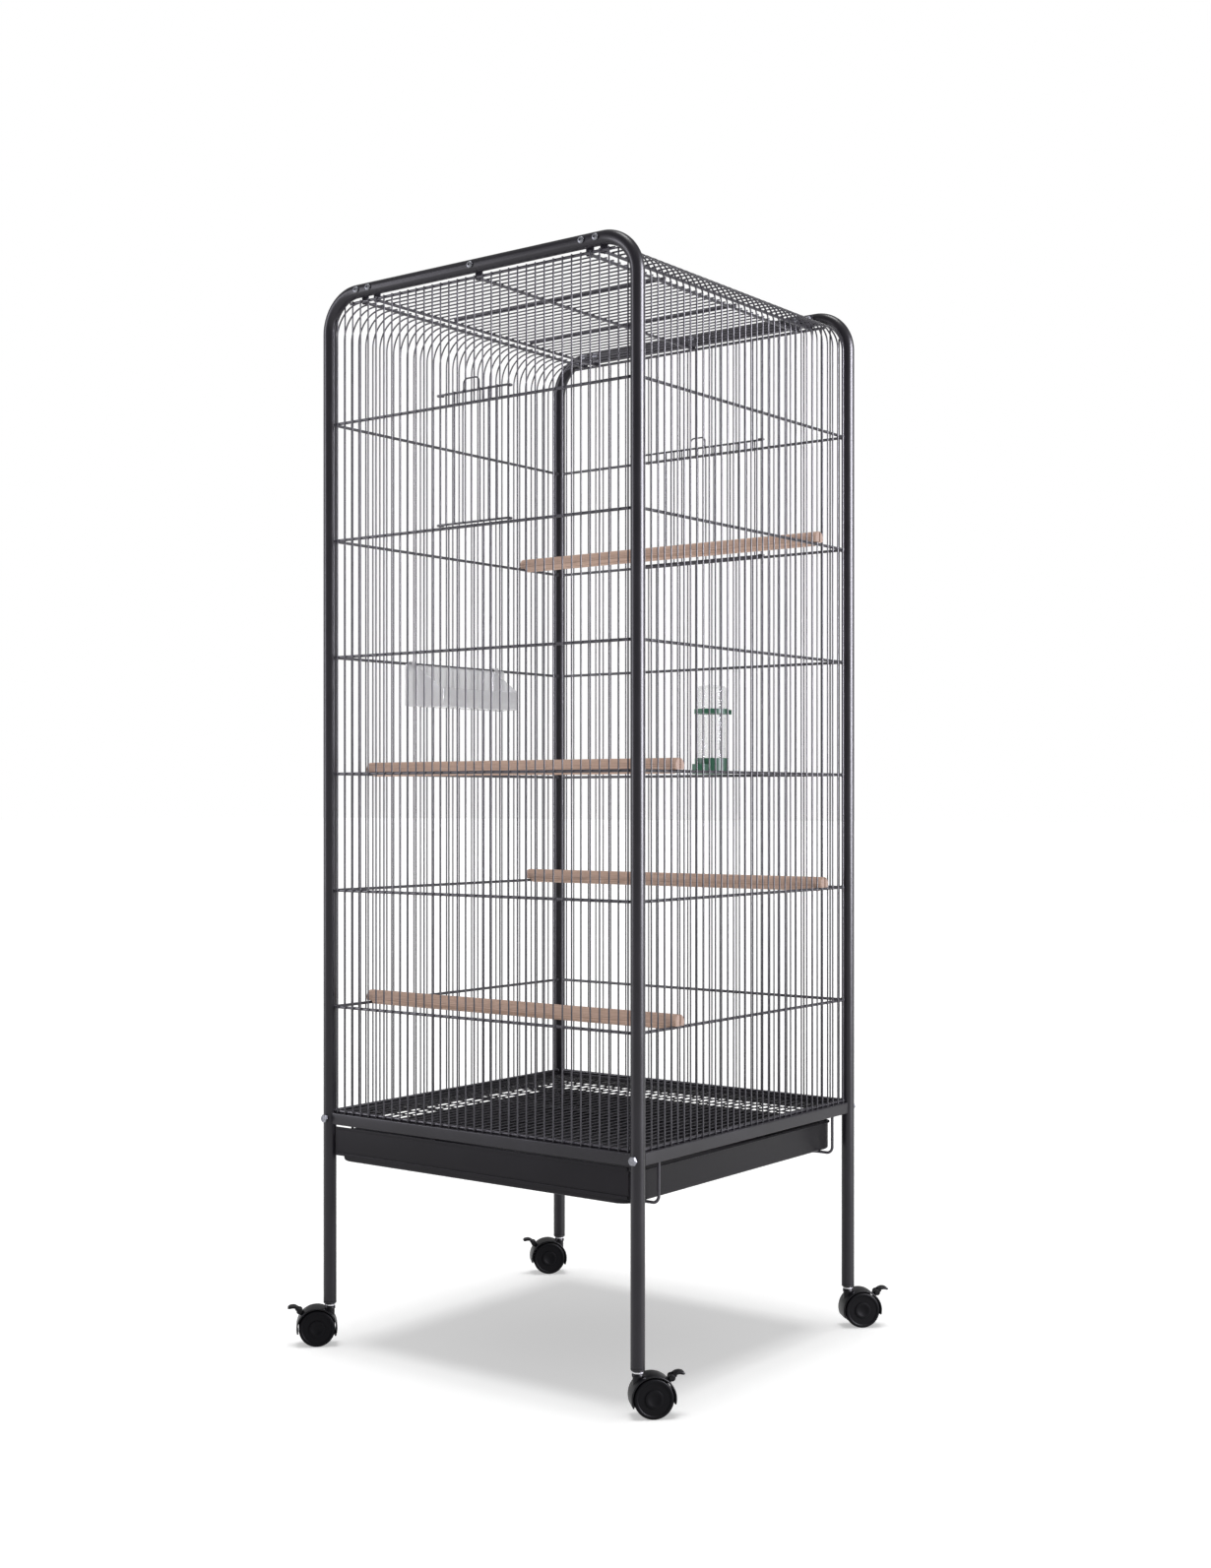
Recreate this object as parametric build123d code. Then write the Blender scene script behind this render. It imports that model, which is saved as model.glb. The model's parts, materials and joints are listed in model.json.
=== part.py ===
from build123d import *
import math
import os

# Bird cage on a wheeled stand. Millimetres, +Z up, +X along the front, +Y to the back.
# The origin lies on the floor, under the middle of the cage.

# Overall sizes
OVERALL_WIDTH = 540.0
OVERALL_DEPTH = 540.0
OVERALL_HEIGHT = 1460.0

# Frame tube: each arch is one bent tube whose legs are the posts of the stand
TUBE_DIA = 18.0
TUBE_WALL = 1.2
ARCH_BEND_RADIUS = 52.0
FOOT_ABOVE_SHIELD = 6.8

# Wire work
WIRE_DIA = 2.2
ROD_DIA = 4.0
WIRE_PITCH_AIM = 14.6
WELD_GAP = 0.02
HOOP_COUNT = 6
FIRST_HOOP_ABOVE_RAIL = 146.0
LAST_HOOP_BELOW_TOP = 185.5
TOP_ROD_DROP = 14.0
SIDE_BEND_RADIUS = 44.0
SIDE_ROD_FROM_POST = 58.0
ROOF_ROD_FROM_POST = 80.0
ROOF_CROSS_ROD_HALF_SPACES = 6
ROOF_CROSS_ROD_DIA = 3.0

# Lugs that hold the panel rods to the arches, with their bolts and nuts
LUG_WIDTH = 12.0
LUG_THICKNESS = 2.0
LUG_MARGIN = 6.0
LUG_BOLT_DIA = 5.0
LUG_HEAD_DIA = 9.0
LUG_HEAD_HEIGHT = 3.2
LUG_NUT_FLATS = 8.0
LUG_NUT_HEIGHT = 4.0
BOLT_CLEARANCE = 0.1

# Base rails and the bolts that hold the side rails to the posts
RAIL_TOP = 322.0
RAIL_HEIGHT = 16.0
RAIL_WIDTH = 10.0
RAIL_WALL = 1.2
RAIL_END_PLATE = 3.0
RAIL_BOLT_DIA = 6.0
RAIL_BOLT_HEAD_FLATS = 10.0
RAIL_BOLT_HEAD_HEIGHT = 4.0
RAIL_BOLT_REACH = 12.0

# Floor grid and the lugs that carry it
GRID_EDGE_GAP = 2.5
GRID_CORNER_RADIUS = 10.0
GRID_WIRE_DIA = 2.0
GRID_CROSS_EVERY = 2
GRID_THICK_ROD_COUNT = 3
GRID_LUG_LENGTH = 16.0
GRID_LUG_REACH = 8.0
GRID_LUG_THICKNESS = 2.0
GRID_LUG_BELOW_RAIL_TOP = 9.0
GRID_LUG_INSET = 90.0

# Tray, its front plate and its two wire runners
TRAY_HEIGHT = 40.0
TRAY_WALL = 1.2
TRAY_CORNER_RADIUS = 22.0
TRAY_LIP = 2.5
TRAY_POST_GAP = 3.5
TRAY_BACK_GAP = 12.0
TRAY_RUNNER_GAP = 0.4
TRAY_FRONT_THICKNESS = 1.2
TRAY_FRONT_RECESS = 2.0
TRAY_FRONT_DROP = 58.0
TRAY_FRONT_RAIL_GAP = 2.5
TRAY_FRONT_HEM = 4.0
RUNNER_DIA = 4.0
RUNNER_DROP = 68.0
RUNNER_INSET = 32.0
RUNNER_END_INSET = 45.0
RUNNER_BEND_RADIUS = 9.0

# Sliding doors
DOOR_BAR_DIA = 3.0
DOOR_TOP_ABOVE_HOOP = 14.0
DOOR_GAP = 0.4
DOOR_LOOP_CLEARANCE = 0.5
DOOR_LIFT_LOOP_HEIGHT = 16.0
DOOR_LIFT_LOOP_WIDTH = 26.0
DOOR_LIFT_LOOP_DIA = 2.2
FRONT_DOOR_HALF_SPACES = 4
REAR_DOOR_HALF_SPACES = 8
DOOR_HOOP = 4

# Perches: (hoop that carries it, side of the cage, wires in from the post)
PERCH_DIA = 20.0
PERCH_ABOVE_HOOP = 7.0
PERCH_OVERHANG = 4.0
PERCH_SLOT_CLEARANCE = 0.4
PERCH_REST_GAP = 0.3
PERCH_PLACES = [(4, 1, 6), (2, -1, 6), (1, 1, 5), (0, -1, 6)]

# Feeder trough on the left side
FEEDER_HOOP = 3
FEEDER_PLATE_LENGTH = 226.0
FEEDER_LENGTH = 178.0
FEEDER_DEPTH = 50.0
FEEDER_HEIGHT = 62.0
FEEDER_FRONT_DROP = 36.0
FEEDER_WALL = 2.0
FEEDER_CORNER_RADIUS = 6.0
FEEDER_PANEL_GAP = 0.5
FEEDER_HOOK_WIDTH = 8.0
FEEDER_HOOK_SPACES = 6
FEEDER_HOOK_THICKNESS = 1.6
FEEDER_HOOK_LIP = 9.0

# Drinker on the rear panel
DRINKER_SPACE_FROM_MIDDLE = 3
DRINKER_CUP_BOTTOM_ABOVE_HOOP = 2.0
DRINKER_HOOP = 2
DRINKER_TUBE_DIA = 46.0
DRINKER_TUBE_WALL = 1.5
DRINKER_TUBE_LENGTH = 126.0
DRINKER_TUBE_DOME = 8.0
DRINKER_CUP_WALL = 2.0
DRINKER_CUP_HEIGHT = 24.0
DRINKER_TUBE_LIFT = 4.0
DRINKER_SPOUT_LENGTH = 17.0
DRINKER_SPOUT_WIDTH = 22.0
DRINKER_SPOUT_HEIGHT = 15.0
DRINKER_RING_HEIGHT = 7.0
DRINKER_RING_WALL = 2.4
DRINKER_RING_ABOVE_CUP = 66.0
DRINKER_CLEARANCE = 0.3
DRINKER_CUP_FIT = 0.1
DRINKER_CLIP_WIDTH = 9.0
DRINKER_CLIP_BAR = 22.0
DRINKER_CLIP_THICKNESS = 2.5
DRINKER_PANEL_GAP = 3.0

# Post plugs and casters
PLUG_DEPTH = 24.0
PLUG_FLANGE = 3.0
PLUG_FIT = 0.05
STEM_DIA = 8.0
STEM_FIT = 0.05
STEM_COLLAR_DIA = 14.0
STEM_COLLAR_HEIGHT = 2.7
STEM_BELOW_COLLAR = 26.0
STEM_IN_PLUG = 20.0
SOCKET_GAP = 0.4
WHEEL_DIA = 50.0
WHEEL_WIDTH = 8.0
WHEEL_EDGE_RADIUS = 2.5
WHEEL_RECESS_DIA = 34.0
WHEEL_RECESS_DEPTH = 1.5
WHEEL_HUB_DIA = 12.0
WHEEL_GAP = 0.7
CASTER_TRAIL = 18.0
WEB_WIDTH = 13.0
WEB_RADIUS = 21.0
WEB_FLOOR_GAP = 13.0
SHIELD_INNER_GAP = 1.2
SHIELD_THICKNESS = 2.0
SHIELD_START = -14.0
SHIELD_END = 202.0
AXLE_DIA = 5.0
AXLE_FIT = 0.05
BRAKE_PIVOT_ABOVE_SHIELD = 4.8
BRAKE_PIVOT_ANGLE = 44.0
BRAKE_PIN_DIA = 3.0
BRAKE_EAR_RADIUS = 3.4
BRAKE_EAR_WIDTH = 7.0
BRAKE_CHEEK_RADIUS = 4.2
BRAKE_SIDE_GAP = 0.4
BRAKE_LEVER_WIDTH = 14.0
BRAKE_ARM_THICKNESS = 3.6
BRAKE_ARM_REACH = 14.0
BRAKE_ARM_RISE = 5.0
BRAKE_ARM_BULGE = 3.0

# Places that follow from the sizes above
POST_X = OVERALL_WIDTH / 2 - TUBE_DIA / 2
POST_Y = OVERALL_DEPTH / 2 - TUBE_DIA / 2
TUBE_RADIUS = TUBE_DIA / 2
WIRE_RADIUS = WIRE_DIA / 2
ROD_RADIUS = ROD_DIA / 2
ARCH_TOP = OVERALL_HEIGHT - TUBE_RADIUS
TOP_ROD_Z = ARCH_TOP - TOP_ROD_DROP
ROOF_WIRE_Z = TOP_ROD_Z + ROD_RADIUS + WIRE_RADIUS + WELD_GAP
HOOP_INSET = WIRE_RADIUS + ROD_RADIUS + WELD_GAP
HOOP_FIRST = RAIL_TOP + FIRST_HOOP_ABOVE_RAIL
HOOP_LAST = OVERALL_HEIGHT - LAST_HOOP_BELOW_TOP
HOOPS = [HOOP_FIRST + (HOOP_LAST - HOOP_FIRST) * i / (HOOP_COUNT - 1) for i in range(HOOP_COUNT)]
RAIL_BOLT_Z = RAIL_TOP - RAIL_HEIGHT / 2
SIDE_ROD_X = POST_X - SIDE_ROD_FROM_POST
ROOF_ROD_X = POST_X - ROOF_ROD_FROM_POST
WHEEL_RADIUS = WHEEL_DIA / 2
SHIELD_RADIUS = WHEEL_RADIUS + SHIELD_INNER_GAP + SHIELD_THICKNESS
POST_FOOT_HEIGHT = WHEEL_RADIUS + SHIELD_RADIUS + FOOT_ABOVE_SHIELD
BRAKE_PIVOT_RADIUS = SHIELD_RADIUS + BRAKE_PIVOT_ABOVE_SHIELD
RUNNER_Z = RAIL_TOP - RUNNER_DROP


def half_spaces(post):
    """Number of wire spaces from the middle of a side to its post."""
    return round(post / WIRE_PITCH_AIM)


PITCH_X = POST_X / half_spaces(POST_X)
PITCH_Y = POST_Y / half_spaces(POST_Y)


# ---------------------------------------------------------------- basic shapes
def rod(start, end, dia):
    """Straight round bar between two points."""
    first = Vector(*start)
    along = Vector(*end) - first
    return Solid.make_cylinder(dia / 2, along.length, Plane(origin=first, z_dir=along))


def bent_rod(points, bend_radius, dia):
    """Round bar along straight runs with one bend radius."""
    path = FilletPolyline(*points, radius=bend_radius)
    section = Plane(origin=path @ 0, z_dir=path % 0) * Circle(dia / 2)
    return sweep(section, path=path)


def block(x_range, y_range, z_range):
    """Box between two X, two Y and two Z values, each pair in any order."""
    spans = [sorted(pair) for pair in (x_range, y_range, z_range)]
    size = [high - low for low, high in spans]
    middle = [(high + low) / 2 for low, high in spans]
    return Pos(*middle) * Box(*size)


def hexagon_bar(start, end, flats):
    """Hexagonal bar between two points, sized across its flats."""
    first = Vector(*start)
    along = Vector(*end) - first
    outline = Plane(origin=first, z_dir=along) * RegularPolygon(flats / 2, 6, major_radius=False)
    return extrude(outline, amount=along.length, dir=along.normalized())


def pieces(*shapes):
    """One flat list of the solids in the given shapes and lists."""
    found = []
    for shape in shapes:
        if isinstance(shape, list):
            found += pieces(*shape)
        else:
            found += shape.solids()
    return found


def save(name, *shapes):
    """Write one node: every solid given, kept separate."""
    solids = pieces(*shapes)
    shape = solids[0] if len(solids) == 1 else Compound(children=solids)
    export_step(shape, os.path.join("parts", name + ".step"))


# ---------------------------------------------------------------- frame
def make_arch(side):
    """Arch tube: two posts and a top in one bend, drilled for its bolts. side is -1 front, 1 rear."""
    y = side * POST_Y
    route = [
        (-POST_X, y, POST_FOOT_HEIGHT),
        (-POST_X, y, ARCH_TOP),
        (POST_X, y, ARCH_TOP),
        (POST_X, y, POST_FOOT_HEIGHT),
    ]
    tube = bent_rod(route, ARCH_BEND_RADIUS, TUBE_DIA) - bent_rod(
        route, ARCH_BEND_RADIUS, TUBE_DIA - 2 * TUBE_WALL
    )
    for x in lug_places():
        tube -= drill(x, y, ARCH_TOP, LUG_BOLT_DIA)
    for x in (-POST_X, POST_X):
        tube -= drill(x, y, RAIL_BOLT_Z, RAIL_BOLT_DIA)
    return tube


def drill(x, y, z, bolt_dia):
    """Bolt hole through a frame tube, along Y."""
    reach = TUBE_DIA
    return rod((x, y - reach, z), (x, y + reach, z), bolt_dia + 2 * BOLT_CLEARANCE)


def lug_places():
    """X of every lug along an arch, from left to right."""
    return [-SIDE_ROD_X, -ROOF_ROD_X, 0.0, ROOF_ROD_X, SIDE_ROD_X]


def make_lug(x, side):
    """Lug plate against the inner face of an arch, with its bolt hole."""
    face = side * (POST_Y - TUBE_RADIUS)
    plate = block(
        (x - LUG_WIDTH / 2, x + LUG_WIDTH / 2),
        (face, face - side * LUG_THICKNESS),
        (TOP_ROD_Z - ROD_RADIUS, ARCH_TOP + LUG_MARGIN),
    )
    return plate - drill(x, face, ARCH_TOP, LUG_BOLT_DIA)


def make_long_rod(x):
    """Panel rod along Y with a lug at each end."""
    reach = POST_Y - TUBE_RADIUS - LUG_THICKNESS
    bar = rod((x, -reach, TOP_ROD_Z), (x, reach, TOP_ROD_Z), ROD_DIA)
    return [bar, make_lug(x, -1), make_lug(x, 1)]


def make_lug_bolts():
    """Round-headed bolts through the arches and the panel lugs."""
    bolts = []
    for side in (-1, 1):
        outer = side * (POST_Y + TUBE_RADIUS)
        inner = side * (POST_Y - TUBE_RADIUS - LUG_THICKNESS - LUG_NUT_HEIGHT)
        for x in lug_places():
            shank = rod((x, outer, ARCH_TOP), (x, inner, ARCH_TOP), LUG_BOLT_DIA)
            head = rod(
                (x, outer, ARCH_TOP), (x, outer + side * LUG_HEAD_HEIGHT, ARCH_TOP), LUG_HEAD_DIA
            )
            bolts.append(shank + head)
    return bolts


def make_lug_nuts():
    """Hexagon nuts behind the panel lugs."""
    nuts = []
    for side in (-1, 1):
        start = side * (POST_Y - TUBE_RADIUS - LUG_THICKNESS)
        end = start - side * LUG_NUT_HEIGHT
        for x in lug_places():
            body = hexagon_bar((x, start, ARCH_TOP), (x, end, ARCH_TOP), LUG_NUT_FLATS)
            nuts.append(body - drill(x, start, ARCH_TOP, LUG_BOLT_DIA))
    return nuts


# ---------------------------------------------------------------- base rails
def make_cross_rail(side):
    """Front or rear rail: a box tube along X between two posts."""
    reach = POST_X - TUBE_RADIUS
    y = side * POST_Y
    half = RAIL_WIDTH / 2
    outer = block((-reach, reach), (y - half, y + half), (RAIL_TOP - RAIL_HEIGHT, RAIL_TOP))
    inner = block(
        (-reach, reach),
        (y - half + RAIL_WALL, y + half - RAIL_WALL),
        (RAIL_TOP - RAIL_HEIGHT + RAIL_WALL, RAIL_TOP - RAIL_WALL),
    )
    return outer - inner


def make_side_rail(side):
    """Left or right rail: a box tube along Y, closed at each end by a tapped plate."""
    reach = POST_Y - TUBE_RADIUS
    hollow = reach - RAIL_END_PLATE
    x = side * POST_X
    half = RAIL_WIDTH / 2
    outer = block((x - half, x + half), (-reach, reach), (RAIL_TOP - RAIL_HEIGHT, RAIL_TOP))
    inner = block(
        (x - half + RAIL_WALL, x + half - RAIL_WALL),
        (-hollow, hollow),
        (RAIL_TOP - RAIL_HEIGHT + RAIL_WALL, RAIL_TOP - RAIL_WALL),
    )
    bore = rod((x, -POST_Y, RAIL_BOLT_Z), (x, POST_Y, RAIL_BOLT_Z), RAIL_BOLT_DIA + 2 * BOLT_CLEARANCE)
    return outer - inner - bore


def make_rail_bolts():
    """Hexagon bolts through the posts into the ends of the side rails."""
    bolts = []
    for side_x in (-1, 1):
        for side_y in (-1, 1):
            x = side_x * POST_X
            outer = side_y * (POST_Y + TUBE_RADIUS)
            tip = side_y * (POST_Y - TUBE_RADIUS - RAIL_BOLT_REACH)
            top = outer + side_y * RAIL_BOLT_HEAD_HEIGHT
            shank = rod((x, outer, RAIL_BOLT_Z), (x, tip, RAIL_BOLT_Z), RAIL_BOLT_DIA)
            head = hexagon_bar((x, outer, RAIL_BOLT_Z), (x, top, RAIL_BOLT_Z), RAIL_BOLT_HEAD_FLATS)
            bolts.append(shank + head)
    return bolts


# ---------------------------------------------------------------- wire panels
def arch_clear_height(x):
    """Height at which an upright at x meets the arch tube or reaches the top rod."""
    edge = abs(x) + WIRE_RADIUS
    bend_x = POST_X - ARCH_BEND_RADIUS
    rod_top = TOP_ROD_Z + ROD_RADIUS
    if edge <= bend_x:
        return rod_top
    inner = ARCH_BEND_RADIUS - TUBE_RADIUS
    bend_height = ARCH_TOP - ARCH_BEND_RADIUS + math.sqrt(inner**2 - (edge - bend_x) ** 2)
    return min(rod_top, bend_height)


def top_rod_reach():
    """Half length of the rod under an arch, which ends against the bends of the tube."""
    inner = ARCH_BEND_RADIUS - TUBE_RADIUS
    rise = TOP_ROD_Z + ROD_RADIUS - (ARCH_TOP - ARCH_BEND_RADIUS)
    return POST_X - ARCH_BEND_RADIUS + math.sqrt(inner**2 - rise**2)


def hoop_reach(post):
    """Half length of a hoop, which ends against the round of a post."""
    return post - math.sqrt(TUBE_RADIUS**2 - (HOOP_INSET - ROD_RADIUS) ** 2)


def make_end_panel(side, door_half_spaces):
    """Front or rear panel: uprights on six hoops, a bottom rod and a top rod, with a doorway."""
    wire_y = side * POST_Y
    rod_y = side * (POST_Y - HOOP_INSET)
    solids = []
    for z in HOOPS + [RAIL_TOP + ROD_RADIUS]:
        reach = hoop_reach(POST_X)
        solids.append(rod((-reach, rod_y, z), (reach, rod_y, z), ROD_DIA))
    reach = top_rod_reach()
    solids.append(rod((-reach, rod_y, TOP_ROD_Z), (reach, rod_y, TOP_ROD_Z), ROD_DIA))
    last = half_spaces(POST_X) - 1
    for k in range(-last, last + 1):
        x = k * PITCH_X
        top = arch_clear_height(x)
        if abs(k) < door_half_spaces:
            sill = HOOPS[DOOR_HOOP] + ROD_RADIUS
            head = HOOPS[DOOR_HOOP + 1] - ROD_RADIUS
            solids.append(rod((x, wire_y, RAIL_TOP), (x, wire_y, sill), WIRE_DIA))
            solids.append(rod((x, wire_y, head), (x, wire_y, top), WIRE_DIA))
        else:
            solids.append(rod((x, wire_y, RAIL_TOP), (x, wire_y, top), WIRE_DIA))
    return solids


def make_side_panel(side):
    """Left or right panel: uprights that bend in under the roof and end on a long rod."""
    x = side * POST_X
    rod_x = side * (POST_X - HOOP_INSET)
    solids = make_long_rod(side * SIDE_ROD_X)
    reach = hoop_reach(POST_Y)
    for z in HOOPS + [RAIL_TOP + ROD_RADIUS]:
        solids.append(rod((rod_x, -reach, z), (rod_x, reach, z), ROD_DIA))
    bend_z = ROOF_WIRE_Z - SIDE_BEND_RADIUS
    bend_x = side * (POST_X - SIDE_BEND_RADIUS)
    half_way = SIDE_BEND_RADIUS * math.sqrt(0.5)
    bend = ThreePointArc(
        (x, 0, bend_z),
        (bend_x + side * half_way, 0, bend_z + half_way),
        (bend_x, 0, ROOF_WIRE_Z),
    )
    run = Line((bend_x, 0, ROOF_WIRE_Z), (side * (SIDE_ROD_X - ROD_RADIUS), 0, ROOF_WIRE_Z))
    section = Plane(origin=(x, 0, bend_z), z_dir=(0, 0, 1)) * Circle(WIRE_RADIUS)
    shoulder = sweep(section, path=Wire([bend, run]))
    last = half_spaces(POST_Y) - 1
    for k in range(-last, last + 1):
        y = k * PITCH_Y
        solids.append(rod((x, y, RAIL_TOP), (x, y, bend_z), WIRE_DIA))
        solids.append(Pos(0, y, 0) * shoulder)
    return solids


def make_roof_panel():
    """Flat roof: cross wires on three long rods, tied by two cross rods on top."""
    solids = []
    for x in (-ROOF_ROD_X, 0.0, ROOF_ROD_X):
        solids += make_long_rod(x)
    reach = ROOF_ROD_X + ROD_RADIUS
    last = half_spaces(POST_Y) - 1
    for k in range(-last, last + 1):
        y = k * PITCH_Y
        solids.append(rod((-reach, y, ROOF_WIRE_Z), (reach, y, ROOF_WIRE_Z), WIRE_DIA))
    tie_z = ROOF_WIRE_Z + WIRE_RADIUS + ROOF_CROSS_ROD_DIA / 2 + WELD_GAP
    for y in (-ROOF_CROSS_ROD_HALF_SPACES * PITCH_Y, ROOF_CROSS_ROD_HALF_SPACES * PITCH_Y):
        solids.append(rod((-reach, y, tie_z), (reach, y, tie_z), ROOF_CROSS_ROD_DIA))
    return solids


# ---------------------------------------------------------------- floor
def make_floor_grid():
    """Lift-out floor: a rod frame with fine wires both ways and three thick cross rods."""
    edge_x = POST_X - RAIL_WIDTH / 2 - GRID_EDGE_GAP - ROD_RADIUS
    edge_y = POST_Y - RAIL_WIDTH / 2 - GRID_EDGE_GAP - ROD_RADIUS
    frame_z = RAIL_TOP - GRID_LUG_BELOW_RAIL_TOP + ROD_RADIUS
    solids = make_grid_frame(edge_x, edge_y, frame_z)
    inner_x = edge_x - ROD_RADIUS
    inner_y = edge_y - ROD_RADIUS
    long_z = frame_z + ROD_RADIUS + GRID_WIRE_DIA / 2 + WELD_GAP
    cross_z = long_z - GRID_WIRE_DIA - WELD_GAP
    last_x = half_spaces(POST_X) - 1
    for k in range(-last_x, last_x + 1):
        x = k * PITCH_X
        solids.append(rod((x, -edge_y, long_z), (x, edge_y, long_z), GRID_WIRE_DIA))
    thick = grid_thick_rod_places(inner_y)
    for y in thick:
        solids.append(rod((-inner_x, y, frame_z), (inner_x, y, frame_z), ROD_DIA))
    last_y = half_spaces(POST_Y) - 1
    for k in range(-last_y, last_y + 1, GRID_CROSS_EVERY):
        y = k * PITCH_Y
        on_straight = abs(y) < edge_y - GRID_CORNER_RADIUS
        if on_straight and min(abs(y - place) for place in thick) > ROD_DIA:
            solids.append(rod((-inner_x, y, cross_z), (inner_x, y, cross_z), GRID_WIRE_DIA))
    return solids


def make_grid_frame(edge_x, edge_y, z):
    """Rod frame of the floor grid: four straight bars and four corner bends, meeting face to face."""
    straight_x = edge_x - GRID_CORNER_RADIUS
    straight_y = edge_y - GRID_CORNER_RADIUS
    half_way = GRID_CORNER_RADIUS * math.sqrt(0.5)
    section = Plane(origin=(edge_x, straight_y, z), z_dir=(0, 1, 0)) * Circle(ROD_RADIUS)
    bend = ThreePointArc(
        (edge_x, straight_y, z),
        (straight_x + half_way, straight_y + half_way, z),
        (straight_x, edge_y, z),
    )
    corner = sweep(section, path=bend)
    solids = []
    for side in (-1, 1):
        x = side * edge_x
        y = side * edge_y
        solids.append(rod((x, -straight_y, z), (x, straight_y, z), ROD_DIA))
        solids.append(rod((-straight_x, y, z), (straight_x, y, z), ROD_DIA))
        front_corner = mirror(corner, Plane.XZ)
        solids.append(corner if side > 0 else mirror(corner, Plane.YZ))
        solids.append(front_corner if side > 0 else mirror(front_corner, Plane.YZ))
    return solids


def grid_thick_rod_places(inner_y):
    """Y of each thick rod of the floor grid, evenly spaced."""
    step = 2 * inner_y / (GRID_THICK_ROD_COUNT + 1)
    return [-inner_y + step * (i + 1) for i in range(GRID_THICK_ROD_COUNT)]


def make_grid_lugs():
    """Small shelves on the rails, two to a side, that carry the floor grid."""
    top = RAIL_TOP - GRID_LUG_BELOW_RAIL_TOP
    low = top - GRID_LUG_THICKNESS
    half = GRID_LUG_LENGTH / 2
    lugs = []
    for side in (-1, 1):
        for end in (-1, 1):
            face_x = side * (POST_X - RAIL_WIDTH / 2)
            face_y = side * (POST_Y - RAIL_WIDTH / 2)
            at_x = end * (POST_X - GRID_LUG_INSET)
            at_y = end * (POST_Y - GRID_LUG_INSET)
            reach_x = (face_x, face_x - side * GRID_LUG_REACH)
            reach_y = (face_y, face_y - side * GRID_LUG_REACH)
            lugs.append(block(reach_x, (at_y - half, at_y + half), (low, top)))
            lugs.append(block((at_x - half, at_x + half), reach_y, (low, top)))
    return lugs


# ---------------------------------------------------------------- tray
def tray_half_width():
    """Half the width of the tray over its lip, which passes between the front posts."""
    return POST_X - TUBE_RADIUS - TRAY_POST_GAP


def tray_bottom():
    """Height of the tray's underside on its runners."""
    return RUNNER_Z + RUNNER_DIA / 2 + TRAY_RUNNER_GAP


def tray_front_face():
    """Y of the tray's front wall, against the back of the front plate."""
    return -POST_Y - RAIL_WIDTH / 2 + TRAY_FRONT_RECESS + 2 * TRAY_FRONT_THICKNESS


def make_tray():
    """Open pan with round corners and a turned-out lip."""
    half_x = tray_half_width() - TRAY_LIP
    front = tray_front_face()
    back = POST_Y - TRAY_BACK_GAP - TRAY_LIP
    low = tray_bottom()
    middle = Pos(0, (front + back) / 2, 0)
    length = back - front
    shell = extrude(
        middle * Pos(0, 0, low) * RectangleRounded(2 * half_x, length, TRAY_CORNER_RADIUS), TRAY_HEIGHT
    )
    hollow = extrude(
        middle
        * Pos(0, 0, low + TRAY_WALL)
        * RectangleRounded(
            2 * (half_x - TRAY_WALL), length - 2 * TRAY_WALL, TRAY_CORNER_RADIUS - TRAY_WALL
        ),
        TRAY_HEIGHT,
    )
    rim = extrude(
        middle
        * Pos(0, TRAY_LIP / 2, low + TRAY_HEIGHT - TRAY_WALL)
        * RectangleRounded(2 * half_x + 2 * TRAY_LIP, length + TRAY_LIP, TRAY_CORNER_RADIUS + TRAY_LIP),
        TRAY_WALL,
    )
    return (shell + rim) - hollow


def make_tray_front():
    """Front plate of the tray, with a folded hem along its top and bottom edges."""
    half_x = tray_half_width()
    back = tray_front_face()
    face = back - TRAY_FRONT_THICKNESS
    top = RAIL_TOP - RAIL_HEIGHT - TRAY_FRONT_RAIL_GAP
    low = RAIL_TOP - TRAY_FRONT_DROP
    plate = block((-half_x, half_x), (face, back), (low, top))
    hem_bottom = block((-half_x, half_x), (face - TRAY_FRONT_THICKNESS, face), (low, low + TRAY_FRONT_HEM))
    hem_top = block((-half_x, half_x), (face - TRAY_FRONT_THICKNESS, face), (top - TRAY_FRONT_HEM, top))
    return plate + hem_bottom + hem_top


def make_runner(side):
    """Wire runner: hangs from a side rail, turns in and carries the tray along Y."""
    x_out = side * POST_X
    x_in = side * (POST_X - RUNNER_INSET)
    reach = POST_Y - RUNNER_END_INSET
    top = RAIL_TOP - RAIL_HEIGHT
    route = [
        (x_out, -reach, top),
        (x_out, -reach, RUNNER_Z),
        (x_in, -reach, RUNNER_Z),
        (x_in, reach, RUNNER_Z),
        (x_out, reach, RUNNER_Z),
        (x_out, reach, top),
    ]
    return bent_rod(route, RUNNER_BEND_RADIUS, RUNNER_DIA)


# ---------------------------------------------------------------- doors
def make_door(side, door_half_spaces):
    """Sliding door: wires between two bars whose looped ends ride on two uprights."""
    bar_radius = DOOR_BAR_DIA / 2
    bar_y = POST_Y + WIRE_RADIUS + DOOR_GAP + bar_radius
    wire_y = bar_y + bar_radius + WIRE_RADIUS + WELD_GAP
    low = HOOPS[DOOR_HOOP] + ROD_RADIUS + DOOR_GAP + bar_radius
    high = HOOPS[DOOR_HOOP + 1] + DOOR_TOP_ABOVE_HOOP
    guide = door_half_spaces * PITCH_X
    solids = []
    for z in (low, high):
        solids.append(make_door_bar(guide, bar_y, z))
    for k in range(-door_half_spaces + 1, door_half_spaces):
        x = k * PITCH_X
        solids.append(rod((x, wire_y, low - bar_radius), (x, wire_y, high + bar_radius), WIRE_DIA))
    solids.append(make_lift_loop(wire_y, high))
    if side > 0:
        return solids
    return [Rot(0, 0, 180) * solid for solid in solids]


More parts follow.
